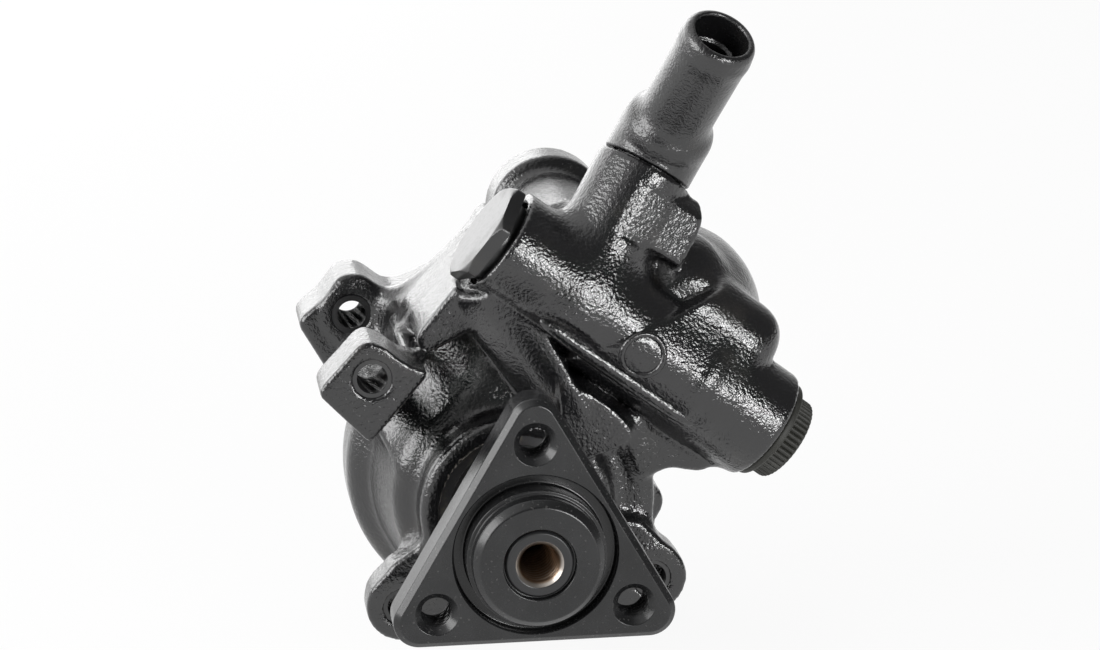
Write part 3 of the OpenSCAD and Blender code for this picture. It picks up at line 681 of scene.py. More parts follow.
class Shader(Graph):
    """Material that is built node by node from procedural textures on Object coordinates."""

    def __init__(self, name: str) -> None:
        """Starts a material with one Principled shader.

        Args:
            name: Name of the material.
        """
        self.material = bpy.data.materials.new(name)
        self.material.use_nodes = True
        super().__init__(self.material.node_tree)
        self.base = self.tree.nodes["Principled BSDF"]
        self.place = Value(self, self.tree.nodes.new("ShaderNodeTexCoord").outputs["Object"])

    def noise(self, size: float, detail: float = 2.0, rough: float = 0.5) -> Value:
        """Fractal noise whose blotches are about that many millimetres wide."""
        sockets = {"Vector": self.place, "Scale": 1 / (size * MM), "Detail": detail, "Roughness": rough}
        return self.node("ShaderNodeTexNoise", {}, sockets)

    def blend(self, share: Value, low: Value | Colour, high: Colour) -> Value:
        """Colour between two colours, of which the first may be a socket."""
        first = low if isinstance(low, Value) else (*low, 1.0)
        return self.node("ShaderNodeMix", {"data_type": "RGBA"}, {0: share, 6: first, 7: (*high, 1.0)}, 2)

    def bump(self, height: Value, depth: float, before: Value | None = None) -> Value:
        """Normal tilted by a height of so many millimetres."""
        sockets = {"Height": height, "Distance": depth * MM, "Strength": 1.0}
        return self.node("ShaderNodeBump", {}, {**sockets, **({"Normal": before} if before else {})})

    def turning(self) -> Value:
        """Distance from the shaft axis, in millimetres, for marks left by turning."""
        flat = self.vector("MULTIPLY", {0: self.place, 1: (1 / MM, 0.0, 1 / MM)}, 0)
        return self.vector("LENGTH", {0: flat}, 1)

    def put(self, **inputs: Any) -> bpy.types.Material:
        """Feeds the Principled shader: a plain value is set on its socket, and a link is joined to it."""
        for key, value in inputs.items():
            socket = self.base.inputs[key.replace("_", " ")]
            if isinstance(value, Value):
                self.tree.links.new(value.socket, socket)
            else:
                socket.default_value = (*value, 1.0) if isinstance(value, tuple) else value
        return self.material


@dataclass(frozen=True)
class CastPaint:
    """Gloss black paint over a sand-cast skin."""

    name: str
    colour: Colour = (0.0075, 0.0075, 0.008)
    dust: Colour = (0.03, 0.027, 0.023)
    rough: float = 0.1
    grain: float = 0.8
    depth: float = 0.19
    lumps: float = 0.08

    def make(self) -> bpy.types.Material:
        """Builds the material: fine peel on slow lumps, with a little dust in blotches."""
        s = Shader(self.name)
        peel = s.noise(self.grain, 2.5, 0.55)
        lump = s.noise(self.grain * 5.5, 1.0)
        blot = s.noise(14.0, 3.0, 0.6)
        normal = s.bump(peel, self.depth, s.bump(lump, self.lumps))
        rough = self.rough + 0.1 * blot.limit(0.45, 0.7) + 0.06 * peel.limit(0.5, 0.7)
        colour = s.blend(blot.limit(0.55, 0.78) * 0.5, self.colour, self.dust)
        return s.put(Base_Color=colour, Roughness=rough, Normal=normal, Specular_IOR_Level=0.85)


@dataclass(frozen=True)
class SatinCoat:
    """Satin grey coat with fine speckles, as on a phosphated and painted hub."""

    name: str
    colour: Colour = (0.015, 0.0153, 0.016)
    speck: Colour = (0.2, 0.195, 0.19)
    rough: float = 0.16
    grain: float = 0.45
    depth: float = 0.012
    # radii where the painted shade in the ring recess begins and ends
    recess_shade_in: tuple[float, float] = (15.1, 15.4)
    recess_shade_out: tuple[float, float] = (17.9, 18.2)

    def make(self) -> bpy.types.Material:
        """Builds the material: tight grain, light specks, slow cloudiness and painted shade that darkens the
        ring recess.
        """
        s = Shader(self.name)
        fine = s.noise(self.grain, 3.0, 0.6)
        cloud = s.noise(9.0, 3.0, 0.6)
        specks = s.noise(0.6, 0.0).limit(0.72, 0.8)
        dark = tuple(c * 0.62 for c in self.colour)
        # painted shade: the ring recess between these radii is pushed to the dark tone
        recess_shade = s.turning().limit(*self.recess_shade_in) * (1 - s.turning().limit(*self.recess_shade_out))
        body = s.blend(cloud.limit(0.35, 0.7) - 2.0 * recess_shade, dark, self.colour)
        return s.put(Base_Color=s.blend(specks * 0.2, body, self.speck),
                     Roughness=self.rough + 0.08 * cloud + 0.08 * fine, Normal=s.bump(fine, self.depth))


@dataclass(frozen=True)
class TurnedSteel:
    """Bare or ground steel with rings left by turning about the shaft axis."""

    name: str
    colour: Colour = (0.5, 0.5, 0.51)
    stain: Colour = (0.3, 0.26, 0.2)
    rough: float = 0.3
    pitch: float = 0.35

    def make(self) -> bpy.types.Material:
        """Builds the material: rings of one pitch, broken by noise, under patches of stain."""
        s = Shader(self.name)
        fine = s.noise(1.4, 3.0, 0.6)
        phase = s.turning() * (2 * math.pi / self.pitch) + fine * 3
        wave = s.node("ShaderNodeMath", {"operation": "SINE"}, {0: phase})
        patch = s.noise(5.0, 4.0, 0.65).limit(0.5, 0.75)
        return s.put(Base_Color=s.blend(patch * 0.7, self.colour, self.stain), Metallic=1.0,
                     Roughness=self.rough + 0.15 * patch + 0.06 * fine,
                     Normal=s.bump(wave * 0.5 + fine, 0.004))


@dataclass(frozen=True)
class PaintedEnd:
    """Bare brownish steel whose end face is painted with the hub round it."""

    name: str
    steel: Colour = (0.42, 0.385, 0.35)
    # dark brown of the painted shade deep in the threaded bore
    bore_shade: Colour = (0.2, 0.14, 0.095)
    paint: Colour = (0.015, 0.0153, 0.016)
    bare: float = 5.15
    back: float = -5.4

    def make(self) -> bpy.types.Material:
        """Builds the material: paint outside the thread mouth and in front of a place along the shaft, with
        painted shade darkening the threaded bore towards the axis.
        """
        s = Shader(self.name)
        fine = s.noise(0.5, 2.0)
        far = s.vector("DOT_PRODUCT", {0: s.place, 1: (0.0, 1 / MM, 0.0)}, "Value")
        share = s.turning().limit(self.bare, self.bare + 0.15) * (1 - far.limit(self.back, self.back + 0.2))
        # painted shade: darker brown within 4.3 mm of the axis, deep in the threaded bore, fading to bare
        # steel by 4.9 mm
        deep = s.blend(s.turning().limit(4.3, 4.9), self.bore_shade, self.steel)
        return s.put(Base_Color=s.blend(share, deep, self.paint), Metallic=1 - share,
                     Roughness=0.24 + 0.16 * fine, Normal=s.bump(fine, 0.01))


@dataclass(frozen=True)
class Moulded:
    """Matt moulded plastic or rubber."""

    name: str
    colour: Colour = (0.02, 0.02, 0.016)
    bloom: Colour = (0.05, 0.05, 0.045)
    rough: float = 0.5
    grain: float = 0.35

    def make(self) -> bpy.types.Material:
        """Builds the material: fine mould grain with a faint bloom."""
        s = Shader(self.name)
        fine, cloud = s.noise(self.grain, 2.0), s.noise(4.0, 3.0, 0.6)
        return s.put(Base_Color=s.blend(cloud.limit(0.45, 0.75), self.colour, self.bloom),
                     Roughness=self.rough + 0.15 * cloud, Normal=s.bump(fine, 0.015))


class Dresser:
    """Hands out finished materials by name and ties pieces to bodies, nodes and slots."""

    def __init__(self) -> None:
        """Makes every finish once."""
        steels = (("bearing_steel", 0.62, 0.18), ("cage_steel", 0.45, 0.35), ("clip_steel", 0.12, 0.38),
                  ("plate_steel", 0.42, 0.28), ("vane_steel", 0.6, 0.2), ("spool_steel", 0.56, 0.16),
                  ("spring_steel", 0.3, 0.34))
        makers = [
            CastPaint("casting_paint"),
            CastPaint("pipe_paint", rough=0.17, grain=0.65, depth=0.17, lumps=0.08),
            CastPaint("plug_paint", rough=0.3, grain=0.7, depth=0.02, lumps=0.03),
            CastPaint("cover_steel", rough=0.36, grain=0.6, depth=0.015, lumps=0.02),
            CastPaint("shield_steel", rough=0.4, grain=0.5, depth=0.006, lumps=0.01),
            SatinCoat("hub_steel"),
            PaintedEnd("shaft_steel"),
            *(TurnedSteel(name, (c, c, c * 1.02), rough=rough) for name, c, rough in steels),
            TurnedSteel("bush_bronze", (0.6, 0.4, 0.18), (0.35, 0.2, 0.08), rough=0.3),
            Moulded("seal_rubber", (0.012, 0.012, 0.012), (0.03, 0.03, 0.03), 0.6),
            Moulded("plug_plastic"),
        ]
        self.finishes = {m.name: m.make() for m in makers}
        self.slots = {p["node"]: p["material_slot"] for p in frame["record"]["subparts"]}

    def dress_nodes(self) -> None:
        """Gives each solid the finish of its slot."""
        for name, node in frame["nodes"].items():
            node.data.materials.clear()
            node.data.materials.append(self.finishes[self.slots[name]])

    def seat(self, piece: bpy.types.Object, body: Body, slot: str, *nodes: str) -> None:
        """Finishes a piece, makes it ride on a body and lets it stand for nodes.

        Args:
            piece: The piece.
            body: Body that carries it.
            slot: Material slot of the record.
            nodes: Solids that it stands for.
        """
        piece.data.materials.clear()
        piece.data.materials.append(self.finishes[slot])
        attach(piece, body.value)
        if nodes:
            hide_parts(*nodes)
        LOG.info("piece %s: %d faces on %s", piece.name, len(piece.data.polygons), body.value)


@dataclass
class Casting:
    """Cast housing: body of revolution, ears, walls, valve tube, lobe and suction boss with cast fillets."""

    step: float = 0.86
    low: tuple[float, float, float] = (-50.0, 19.0, -38.0)
    high: tuple[float, float, float] = (69.0, 99.0, 86.0)
    ear_front: float = 22.0
    rear_plate: float = 79.0
    rear_face: float = 96.0
    lower_front: float = 32.0
    lower_back: float = 41.0
    tapping: float = 4.25
    facet_turn: float = 11.0
    facet_level: float = -10.7
    lobe_out: float = 12.0
    lobe_back: float = 2.0

    def body(self, f: CastField) -> None:
        """Snout, bell-shaped front body and the wider body round the pump chamber."""
        for r, y0, y1, edge, grow in ((22.0, 30.0, 60.0, 2.4, 0.0), (26.4, 39.5, 74.0, 4.5, 0.22),
                                      (35.9, 61.6, 82.0, 6.0, 0.0), (33.4, 70.0, self.rear_face, 1.6, 0.0)):
            f.add(f.rod_y(SHAFT_AXIS, r, y0, y1, edge, grow), 3.0)

    def rear(self, f: CastField) -> None:
        """Rear flange with its thick ear, the dome and the round forms that run back from the valve."""
        x, z = UPPER_EAR
        ear = [(x - 13.2, z - 1.6), (x - 7, z + 3.4), (x - 2.6, z + 9.4), (x + 2.6, z + 9.6),
               (x + 9, z + 4.6), (-20, 37), (-12, 20), (x + 1, z - 20), (x - 6, z - 14)]
        f.add(f.slab(ear, self.rear_plate, self.rear_face, 2.0, 1.6), 3.0)
        f.add(f.rod_y(UPPER_EAR, 7.4, self.rear_plate - 0.5, 90.0, 0.5), 0.6)
        flange = [(-24, 38), (-9, 44.5), (1, 54), (28, 57), (34, 44), (34, 4), (0, -8), (-22, 10)]
        f.add(f.slab(flange, self.rear_plate, self.rear_face, 4.0, 1.6), 4.0)
        f.add(f.rod_y((15.2, 56.0), 14.3, 84.0, self.rear_face, 1.6), 2.0)
        f.add(f.rod_y((15.2, 54.6), 12.0, 48.0, 90.0, 6.0), 4.0)
        floor = [VALVE.at(-37, 0), VALVE.at(31, 6), VALVE.at(31, -8), (31, 6), (14, 0), (8, 30)]
        f.add(f.slab(floor, 44.0, 80.0, 2.0, 3.0), 4.0)
        side = [VALVE.at(-37, 0), (14, 30), (0, -10), (-30, 14), (-35, 22.5), (-32.7, 27.5), (-25.1, 27.7),
                (-24.8, 31), (-24.4, 36.9)]
        slope = 0.33 * (f.z - 36.0) - 0.5 * (f.x + 8.0) - 0.8 * (f.y - 45.0)
        f.add(soft_max(f.slab(side, 42.0, 80.0, 3.0, 3.0), slope, 2.0), 6.0)
        cone = f.rod_y(VALVE.at(10, 7), 14.0, 33.0, 66.0, 3.0, 0.32)
        f.add(soft_max(cone, f.rod_y(VALVE.at(10, 7), 20.5, 33.0, 66.0, 3.0), 2.0), 4.0)

    def left(self, f: CastField) -> None:
        """Front ear with its machined face and two feet, and the wall that ends beside the valve plug."""
        ear = [(-44.9, 31.4), (-44.0, 33.4), (-35.6, 42.6), (-33.4, 43.2), (-30.0, 41.6), (-26.9, 38.9),
               (-23.6, 36.9), (-20.0, 35.7), (-33.6, 19.7)]
        f.add(f.slab(ear, self.ear_front, 36.5, 0.8, 0.8), 2.5)
        for foot in ([(-25.2, 37.2), (-20.8, 35.7), (-25.2, 30.4)],
                     [(-33.4, 20.6), (-27.2, 28.2), (-33, 28.2), (-36.6, 23.6)]):
            f.add(f.slab(foot, 34.0, 66.0, 0.7, 1.0), 3.0)
        wall = [VALVE.at(-41, -5), VALVE.at(-42, -27), (-22, 38.8), (-18.2, 37), (-6, 43), (0, 46),
                VALVE.at(-22, -4)]
        f.add(f.slab(wall, 34.0, 66.0, 0.8, 1.2), 3.0)

    def valve(self, f: CastField) -> None:
        """Valve tube with a flat below, its stouter outlet half, knuckle and lobe, and the suction boss."""
        o, a = VALVE.centre, VALVE.along
        s, t, d = f.along(o, a), f.along(o, VALVE.out), f.along(o, Y_AXIS)
        tube = f.rod(o, a, VALVE.radius, VALVE.start, 16.0, 0.8)
        f.add(soft_max(tube, -0.925 * t - 0.38 * d - 11.5, 1.0), 1.2)
        f.add(f.rod(o, a, VALVE.radius + 0.4, 15.0, VALVE.end, 1.4), 3.0)
        f.add(f.rod(SUCTION.foot, SUCTION.boss, 11.3, -6.0, SUCTION.boss_reach, 1.0), 5.0)
        self.facet(f)
        x, z = VALVE.at(1.5, 16.0)
        f.add(f.ball(np.array([x, 45.0, z]), 10.6), 3.0)
        out, back = self.lobe_out, self.lobe_back
        h = np.clip((t * out + d * back) / (out ** 2 + back ** 2), 0.0, 1.0)
        lobe = np.sqrt((t - out * h) ** 2 + (d - back * h) ** 2) - (13.6 - 3.2 * h)
        lobe = soft_max(lobe, (0.7 + 0.62 * (t - 9.3) - s) * 0.85, 0.8)
        f.add(soft_max(lobe, s - 28.5, 9.0), 1.2)

    def facet(self, f: CastField) -> None:
        """Flat on the front of the suction boss: a block with a sloping top, level with a cut across it."""
        turn, level = math.radians(self.facet_turn), self.facet_level
        x = SUCTION.across * math.cos(turn) + SUCTION.behind * math.sin(turn)
        y = SUCTION.behind * math.cos(turn) - SUCTION.across * math.sin(turn)
        axes, o = (x, y, SUCTION.boss), SUCTION.mouth
        side, depth, rise = (f.along(o, axis) for axis in axes)
        f.cut(f.block(o, axes, (-9.0, -20.0, -17.0), (20.0, level, -4.2), 0.4), 0.6)
        flat = f.block(o, axes, (-2.6, level, -16.0), (14.6, 4.0, -0.8), 0.8)
        flat = soft_max(flat, (rise + 4.0) * 0.73 - (depth - level) * 0.68, 0.8)
        f.add(soft_max(flat, (side - 13.0) * 0.97 + (rise + 1.0) * 0.24, 0.8), 1.0)

    def front(self, f: CastField) -> None:
        """Pad beside the snout, the rib from it to the valve, the web below and the two lower ears."""
        tongue = [(9.5, 50), (27.5, 50), (26.6, 18.2), (24.8, 15.2), (13, 11), (9.5, 10)]
        pad = f.rod_y(SHAFT_AXIS, 32.0, 28.0, 50.0, 0.8)
        f.add(soft_max(pad, f.slab(tongue, 28.0, 50.0, 1.0, 0.8), 0.8), 1.0)
        lower = f.slab([(0, 0), (20, 40), (66, 24), (56, -30)], 34.0, 52.0, 1.0, 3.0)
        f.add(soft_max(f.rod_y(SHAFT_AXIS, 32.6, 34.0, 52.0, 3.0), lower, 3.0), 4.0)
        rib = [(-14, 50), (2, 53), (5.1, 44.9), (13.5, 29.1), (15, 22), (4, 22), (-5, 34), (-13, 44)]
        fall = 28.0 - 0.807 * (f.x + 5.3) - 0.592 * (f.z - 47.3) - f.y
        f.add(soft_max(f.slab(rib, 28.0, 51.0, 0.8, 0.8), fall * 0.7, 3.0), 1.2)
        web = [(22, 20), (24.2, 21.1), (36, 21.4), VALVE.at(33, -2), VALVE.at(33, -12.5), (43, 5.9),
               (36, 7.2), (28, 5)]
        f.add(f.slab(web, 33.5, 52.0, 1.0, 2.0), 2.0)
        y0, y1 = self.lower_front, self.lower_back
        left = [(-33.5, -18.9), (-28.5, -12.4), (-10, 0), (0, 0), (-6, -22), (-23.9, -30.3)]
        right = [(37.0, -12.4), (28.6, -4.4), (0, 0), (8, -22), (29.2, -26.3)]
        for at, arm in ((LOWER_LEFT_EAR, left), (LOWER_RIGHT_EAR, right)):
            f.add(soft_min(f.rod_y(at, 8.2, y0, y1, 1.2), f.slab(arm, y0, y1, 1.0, 1.2), 1.0), 3.0)
        f.add(f.rod_y((31.5, -3.5), 4.4, 42.0, 58.0, 1.5), 3.0)

    def bores(self, f: CastField) -> None:
        """Machined bores, seats, threaded holes, the rear face and the spot face round the valve plug."""
        for r, y0, y1 in ((17.52, 20.0, 43.92), (18.52, 31.4, 32.9), (13.02, 40.0, 51.52), (9.55, 50.0, 62.0),
                          (28.0, 60.5, 99.0), (29.3, 93.3, 95.0)):
            f.cut(f.rod_y(SHAFT_AXIS, r, y0, y1, 0.3), 0.5)
        f.cut(self.rear_face - 0.1 - f.y, 0.6)
        for r, s0, s1 in ((13.3, -60.0, VALVE.start), (10.6, -50.0, -35.4), (9.02, -50.0, -24.7),
                          (8.0, -30.0, 14.02), (5.8, 10.0, 40.0), (7.02, 25.0, 50.0)):
            f.cut(f.rod(VALVE.centre, VALVE.along, r, s0, s1, 0.3), 0.5)
        for r, deep, edge in ((8.62, -12.3, 0.6), (6.2, -32.0, 0.5)):
            f.cut(f.rod(SUCTION.mouth, SUCTION.boss, r, deep, 10.0, 0.3), edge)
        for at, y0, y1 in ((UPPER_EAR, 20.0, 40.0), (UPPER_EAR, 76.0, 99.0), (LOWER_LEFT_EAR, 30.0, 39.4),
                           (LOWER_RIGHT_EAR, 30.0, 39.4)):
            f.cut(f.rod_y(at, self.tapping, y0, y1, 0.3), 0.6)

    def build(self, dress: Dresser) -> None:
        """Builds the casting and seats it for the housing."""
        f = CastField(self.low, self.high, self.step)
        for stage in (self.body, self.rear, self.left, self.front, self.valve, self.bores):
            stage(f)
        dress.seat(f.skin().piece("cast_housing"), Body.PUMP, "casting_paint", "housing")


@dataclass
class TagRing:
    """Plain raised ring cast on the front of the valve tube."""

    spot: tuple[float, float] = (-0.5, -0.9)
    radius: float = 4.7
    bead: float = 0.7
    lift: float = 0.6

    def build(self, dress: Dresser) -> None:
        """Builds a bead bent round the tube: s + q cos a along it, t + q sin a round it, q = R + r cos b."""
        a = circle(96)[None, :]
        b = np.linspace(0, 2 * np.pi, 17)[:, None]
        q = self.radius + self.bead * np.cos(b)
        far = VALVE.radius + self.lift + self.bead * np.sin(b)
        turn = (self.spot[1] + q * np.sin(a)) / VALVE.radius
        along = (self.spot[0] + q * np.cos(a))[..., None] * VALVE.along
        grid = VALVE.centre + along + (far * np.sin(turn))[..., None] * VALVE.out
        grid[..., 1] -= far * np.cos(turn)
        dress.seat(Shell.grid(grid).piece("cast_tag_ring"), Body.PUMP, "casting_paint")


@dataclass
class Ridge:
    """Cast ridge along the lower front of the valve tube, the upper lip of the pocket beside the rib."""

    start: float = -24.0
    end: float = 20.0
    radius: float = 2.0
    low: float = 7.7
    front: float = 10.6

    def build(self, dress: Dresser) -> None:
        """Builds a rod with blunt ends beside the valve axis: radius R sqrt(1 - u^6), u from -1 to 1."""
        u = np.linspace(-1, 1, 81)[:, None]
        a = circle(40)[None, :]
        r = self.radius * np.sqrt(1 - u ** 6)
        s = (self.start + self.end + (self.end - self.start) * u) / 2 + 0 * a
        out, back = r * np.cos(a) - self.low, r * np.sin(a) - self.front
        grid = VALVE.centre + s[..., None] * VALVE.along + out[..., None] * VALVE.out
        grid[..., 1] += back
        dress.seat(Shell.grid(grid).piece("cast_tube_ridge"), Body.PUMP, "casting_paint")


@dataclass
class Threads:
    """Threaded walls in the four ears."""

    core: float = 3.4
    depth: float = 0.5
    pitch: float = 1.25
    wall: float = 1.3

    def build(self, dress: Dresser) -> None:
        """Builds one closed sleeve for each hole: a threaded inside, a plain outside and two end rings."""
        spots = (("upper_front", UPPER_EAR, 22.7, 35.6), ("upper_rear", UPPER_EAR, 78.4, 95.4),
                 ("lower_left", LOWER_LEFT_EAR, 32.7, 39.6), ("lower_right", LOWER_RIGHT_EAR, 32.7, 39.6))
        for name, (x, z), y0, y1 in spots:
            inside = threaded_wall(self.core, self.depth, self.pitch, 0.0, y1 - y0)
            outside = np.stack([ring(self.core + self.wall, h) for h in (y1 - y0, 0.0)])
            shell = Shell.grid(np.concatenate([inside, outside]), along=True)
            piece = shell.placed((x, y0, z), ((1, 0, 0), (0, 0, -1), (0, 1, 0))).piece(name + "_ear_thread")
            dress.seat(piece, Body.PUMP, "plug_paint")


@dataclass
class Hub:
    """Three-cornered drive hub with chamfered flange, ring recess, boss, pilot and three threaded holes."""

    reach: float = 29.2
    corner: float = 5.8
    thick: float = 9.0
    bolt_circle: float = 25.0
    core: float = 3.4
    mouth: float = 5.0
    front_inset: float = 1.6
    rear_inset: float = 0.6
    sides: int = 64
    fine: int = 128

    def outline(self, inset: float, h: float) -> Points:
        """Rounded triangle moved in by an inset: straight sides joined by arcs about the three corners."""
        a = np.radians(np.linspace(-60, 60, 25))
        arcs = []
        for turn in THIRDS:
            c = self.reach * np.array([math.cos(turn), math.sin(turn)])
            arcs.append(c + (self.corner - inset) * np.stack([np.cos(a + turn), np.sin(a + turn)], -1))
        flat = np.concatenate(arcs)
        return np.column_stack([flat, np.full(len(flat), h)])

    def rim(self) -> Shell:
        """Side of the flange as stacked outlines: rounded edge, chamfer, straight wall, rounded rear edge."""
        cuts = ((self.front_inset, 0.0), (1.35, 0.06), (1.2, 0.2), (0.25, 1.0), (0.1, 1.16), (0.0, 1.45),
                (0.0, 8.3), (0.12, 8.7), (self.rear_inset, self.thick))
        return Shell.grid(np.stack([self.outline(i, h) for i, h in cuts])).turned()

    def hole(self, at: tuple[float, float]) -> Shell:
        """Threaded bolt hole with a countersunk mouth."""
        wall = threaded_wall(self.core, 0.55, 1.25, 1.45, self.thick, self.sides)
        sink = ((self.mouth, 0.0), (4.86, 0.05), (4.7, 0.2), (3.5, 1.35))
        grid = np.concatenate([np.stack([ring(r, h, self.sides) for r, h in sink]), wall])
        return Shell.grid(grid + np.array([*at, 0.0]))

    def build(self, dress: Dresser) -> None:
        """Builds the hub from flat faces with holes, its rim and turned surfaces."""
        spots = [(self.bolt_circle * math.cos(turn), self.bolt_circle * math.sin(turn)) for turn in THIRDS]
        face = rounded([(18.3, 0.0, 0), (18.0, 0.3, 0.2), (18.0, 3.0, 0.5), (15.4, 3.0, 0.5),
                        (15.4, -2.2, 0.3), (14.4, -2.2, 0.3), (14.4, -5.1, 0.4), (12.9, -6.6, 0.4),
                        (7.97, -6.6, 0.3), (7.97, -5.1, 0.2), (7.52, -5.1, 0.1), (7.52, 23.0, 0.2),
                        (11.0, 23.0, 0.8), (11.0, 9.6, 0.6), (11.6, self.thick, 0)])
        shells = [self.rim(), *(self.hole(p) for p in spots)]
        for inset, h, inner, r, up in ((self.front_inset, 0.0, 18.3, self.mouth, False),
                                       (self.rear_inset, self.thick, 11.6, self.core, True)):
            holes = [ring(inner, h, self.fine), *(ring(r, h, self.sides, p) for p in spots)]
            shells.append(plate(self.outline(inset, h), holes, up))
        shells.append(Shell.grid(turned_rows(face, self.fine)))
        piece = Shell.join(shells).placed((0, 0, 0), ABOUT_SHAFT).piece("pulley_hub", 30.0)
        weight = piece.modifiers.new("even shading", "WEIGHTED_NORMAL")
        weight.keep_sharp = True
        dress.seat(piece, Body.SHAFT, "hub_steel", "drive_hub")


@dataclass
class Shaft:
    """Drive shaft with a chamfered and threaded end bore."""

    radius: float = 7.5
    neck: float = 6.9
    front: float = -6.2
    rear: float = 86.0
    core: float = 4.25
    sides: int = 96

    def build(self, dress: Dresser) -> None:
        """Builds the shaft as one closed turned surface."""
        r, n, y0, y1 = self.radius, self.neck, self.front, self.rear
        skin = rounded([(0.0, y1, 0), (n, y1, 0.2), (r, 85.4, 0.2), (r, 83.7, 0), (n, 83.7, 0), (n, 82.5, 0),
                        (r, 82.5, 0), (r, -5.7, 0.2), (7.0, y0, 0.2), (5.35, y0, 0.2), (4.3, -5.2, 0.2)])
        wall = threaded_wall(self.core, 0.5, 1.5, -5.1, 15.0, self.sides)
        floor = rounded([(self.core, 15.1, 0), (self.core, 17.8, 0.2), (0.0, 20.0, 0)])
        rows = [turned_rows(skin, self.sides), wall, turned_rows(floor, self.sides)]
        shell = Shell.grid(np.concatenate(rows)).placed((0, 0, 0), ABOUT_SHAFT)
        dress.seat(shell.piece("threaded_shaft", 35.0), Body.SHAFT, "shaft_steel", "drive_shaft")


@dataclass
class SuctionPipe:
    """Bent suction pipe: spigot, collar, bend, hose end with bead and open mouth."""

    spigot: float = 8.6
    collar: float = 10.6
    hose: float = 8.4
    bore: float = 5.4
    foot: float = -18.0
    tip: float = 35.95
    half_bend: float = 5.0
    row: float = 0.8

    def path(self, s: Points) -> tuple[Points, Points]:
        """Centre line and its direction: up the boss, a quadratic curve across the bend, up the hose.

        Args:
            s: Distances along the line, zero at the bend.

        Returns:
            Points and unit directions.
        """
        a, b, half = SUCTION.boss, SUCTION.hose, self.half_bend
        t = np.clip((s + half) / (2 * half), 0, 1)[:, None]
        start, stop = SUCTION.bend - half * a, SUCTION.bend + half * b
        curve = (1 - t) ** 2 * start + 2 * t * (1 - t) * SUCTION.bend + t ** 2 * stop
        curve = curve + np.minimum(s + half, 0)[:, None] * a + np.maximum(s - half, 0)[:, None] * b
        return curve, unit((1 - t) * a + t * b)

    def profile(self) -> Points:
        """Radius and place along the line, outside and then back along the bore, with rows evenly close."""
        g, c, h, b = self.spigot, self.collar, self.hose, self.bore
        out = rounded([(6.4, self.foot, 0), (8.2, self.foot, 0.3), (g, -17.5, 0.3), (g, -13.1, 0),
                       (6.5, -13.1, 0), (6.5, -10.9, 0), (g, -10.9, 0), (g, -5.65, 0.1), (10.2, -5.65, 0.3),
                       (c, -5.2, 0.3), (c, 7.4, 2.2), (8.7, 10.0, 2.0), (h, 13.0, 0.8), (h, 28.6, 1.0),
                       (8.75, 31.6, 1.0), (8.45, 33.4, 0.8), (8.3, 34.8, 0.8), (7.4, self.tip, 0.7),
                       (6.5, self.tip, 0.3), (6.2, 35.4, 0.3), (6.2, 29.0, 0.3), (b, 28.4, 0.3),
                       (b, 5.0, 1.0), (6.4, -4.0, 1.0), (6.4, self.foot, 0)])
        rows = [out[:1]]
        for p, q in zip(out[:-1], out[1:]):
            k = max(1, int(abs(q[1] - p[1]) / self.row))
            rows.append(p + (q - p) * (np.arange(1, k + 1) / k)[:, None])
        return np.concatenate(rows)

    def build(self, dress: Dresser) -> None:
        """Carries the profile along the centre line."""
        profile = self.profile()
        centre, way = self.path(profile[:, 1])
        side = unit(np.cross(way, Y_AXIS))
        grid = swept(centre, side, np.cross(way, side), profile[:, 0][:, None, None], 96)
        piece = Shell.grid(grid).piece("bent_suction_pipe", 40.0)
        dress.seat(piece, Body.PUMP, "pipe_paint", "suction_pipe")


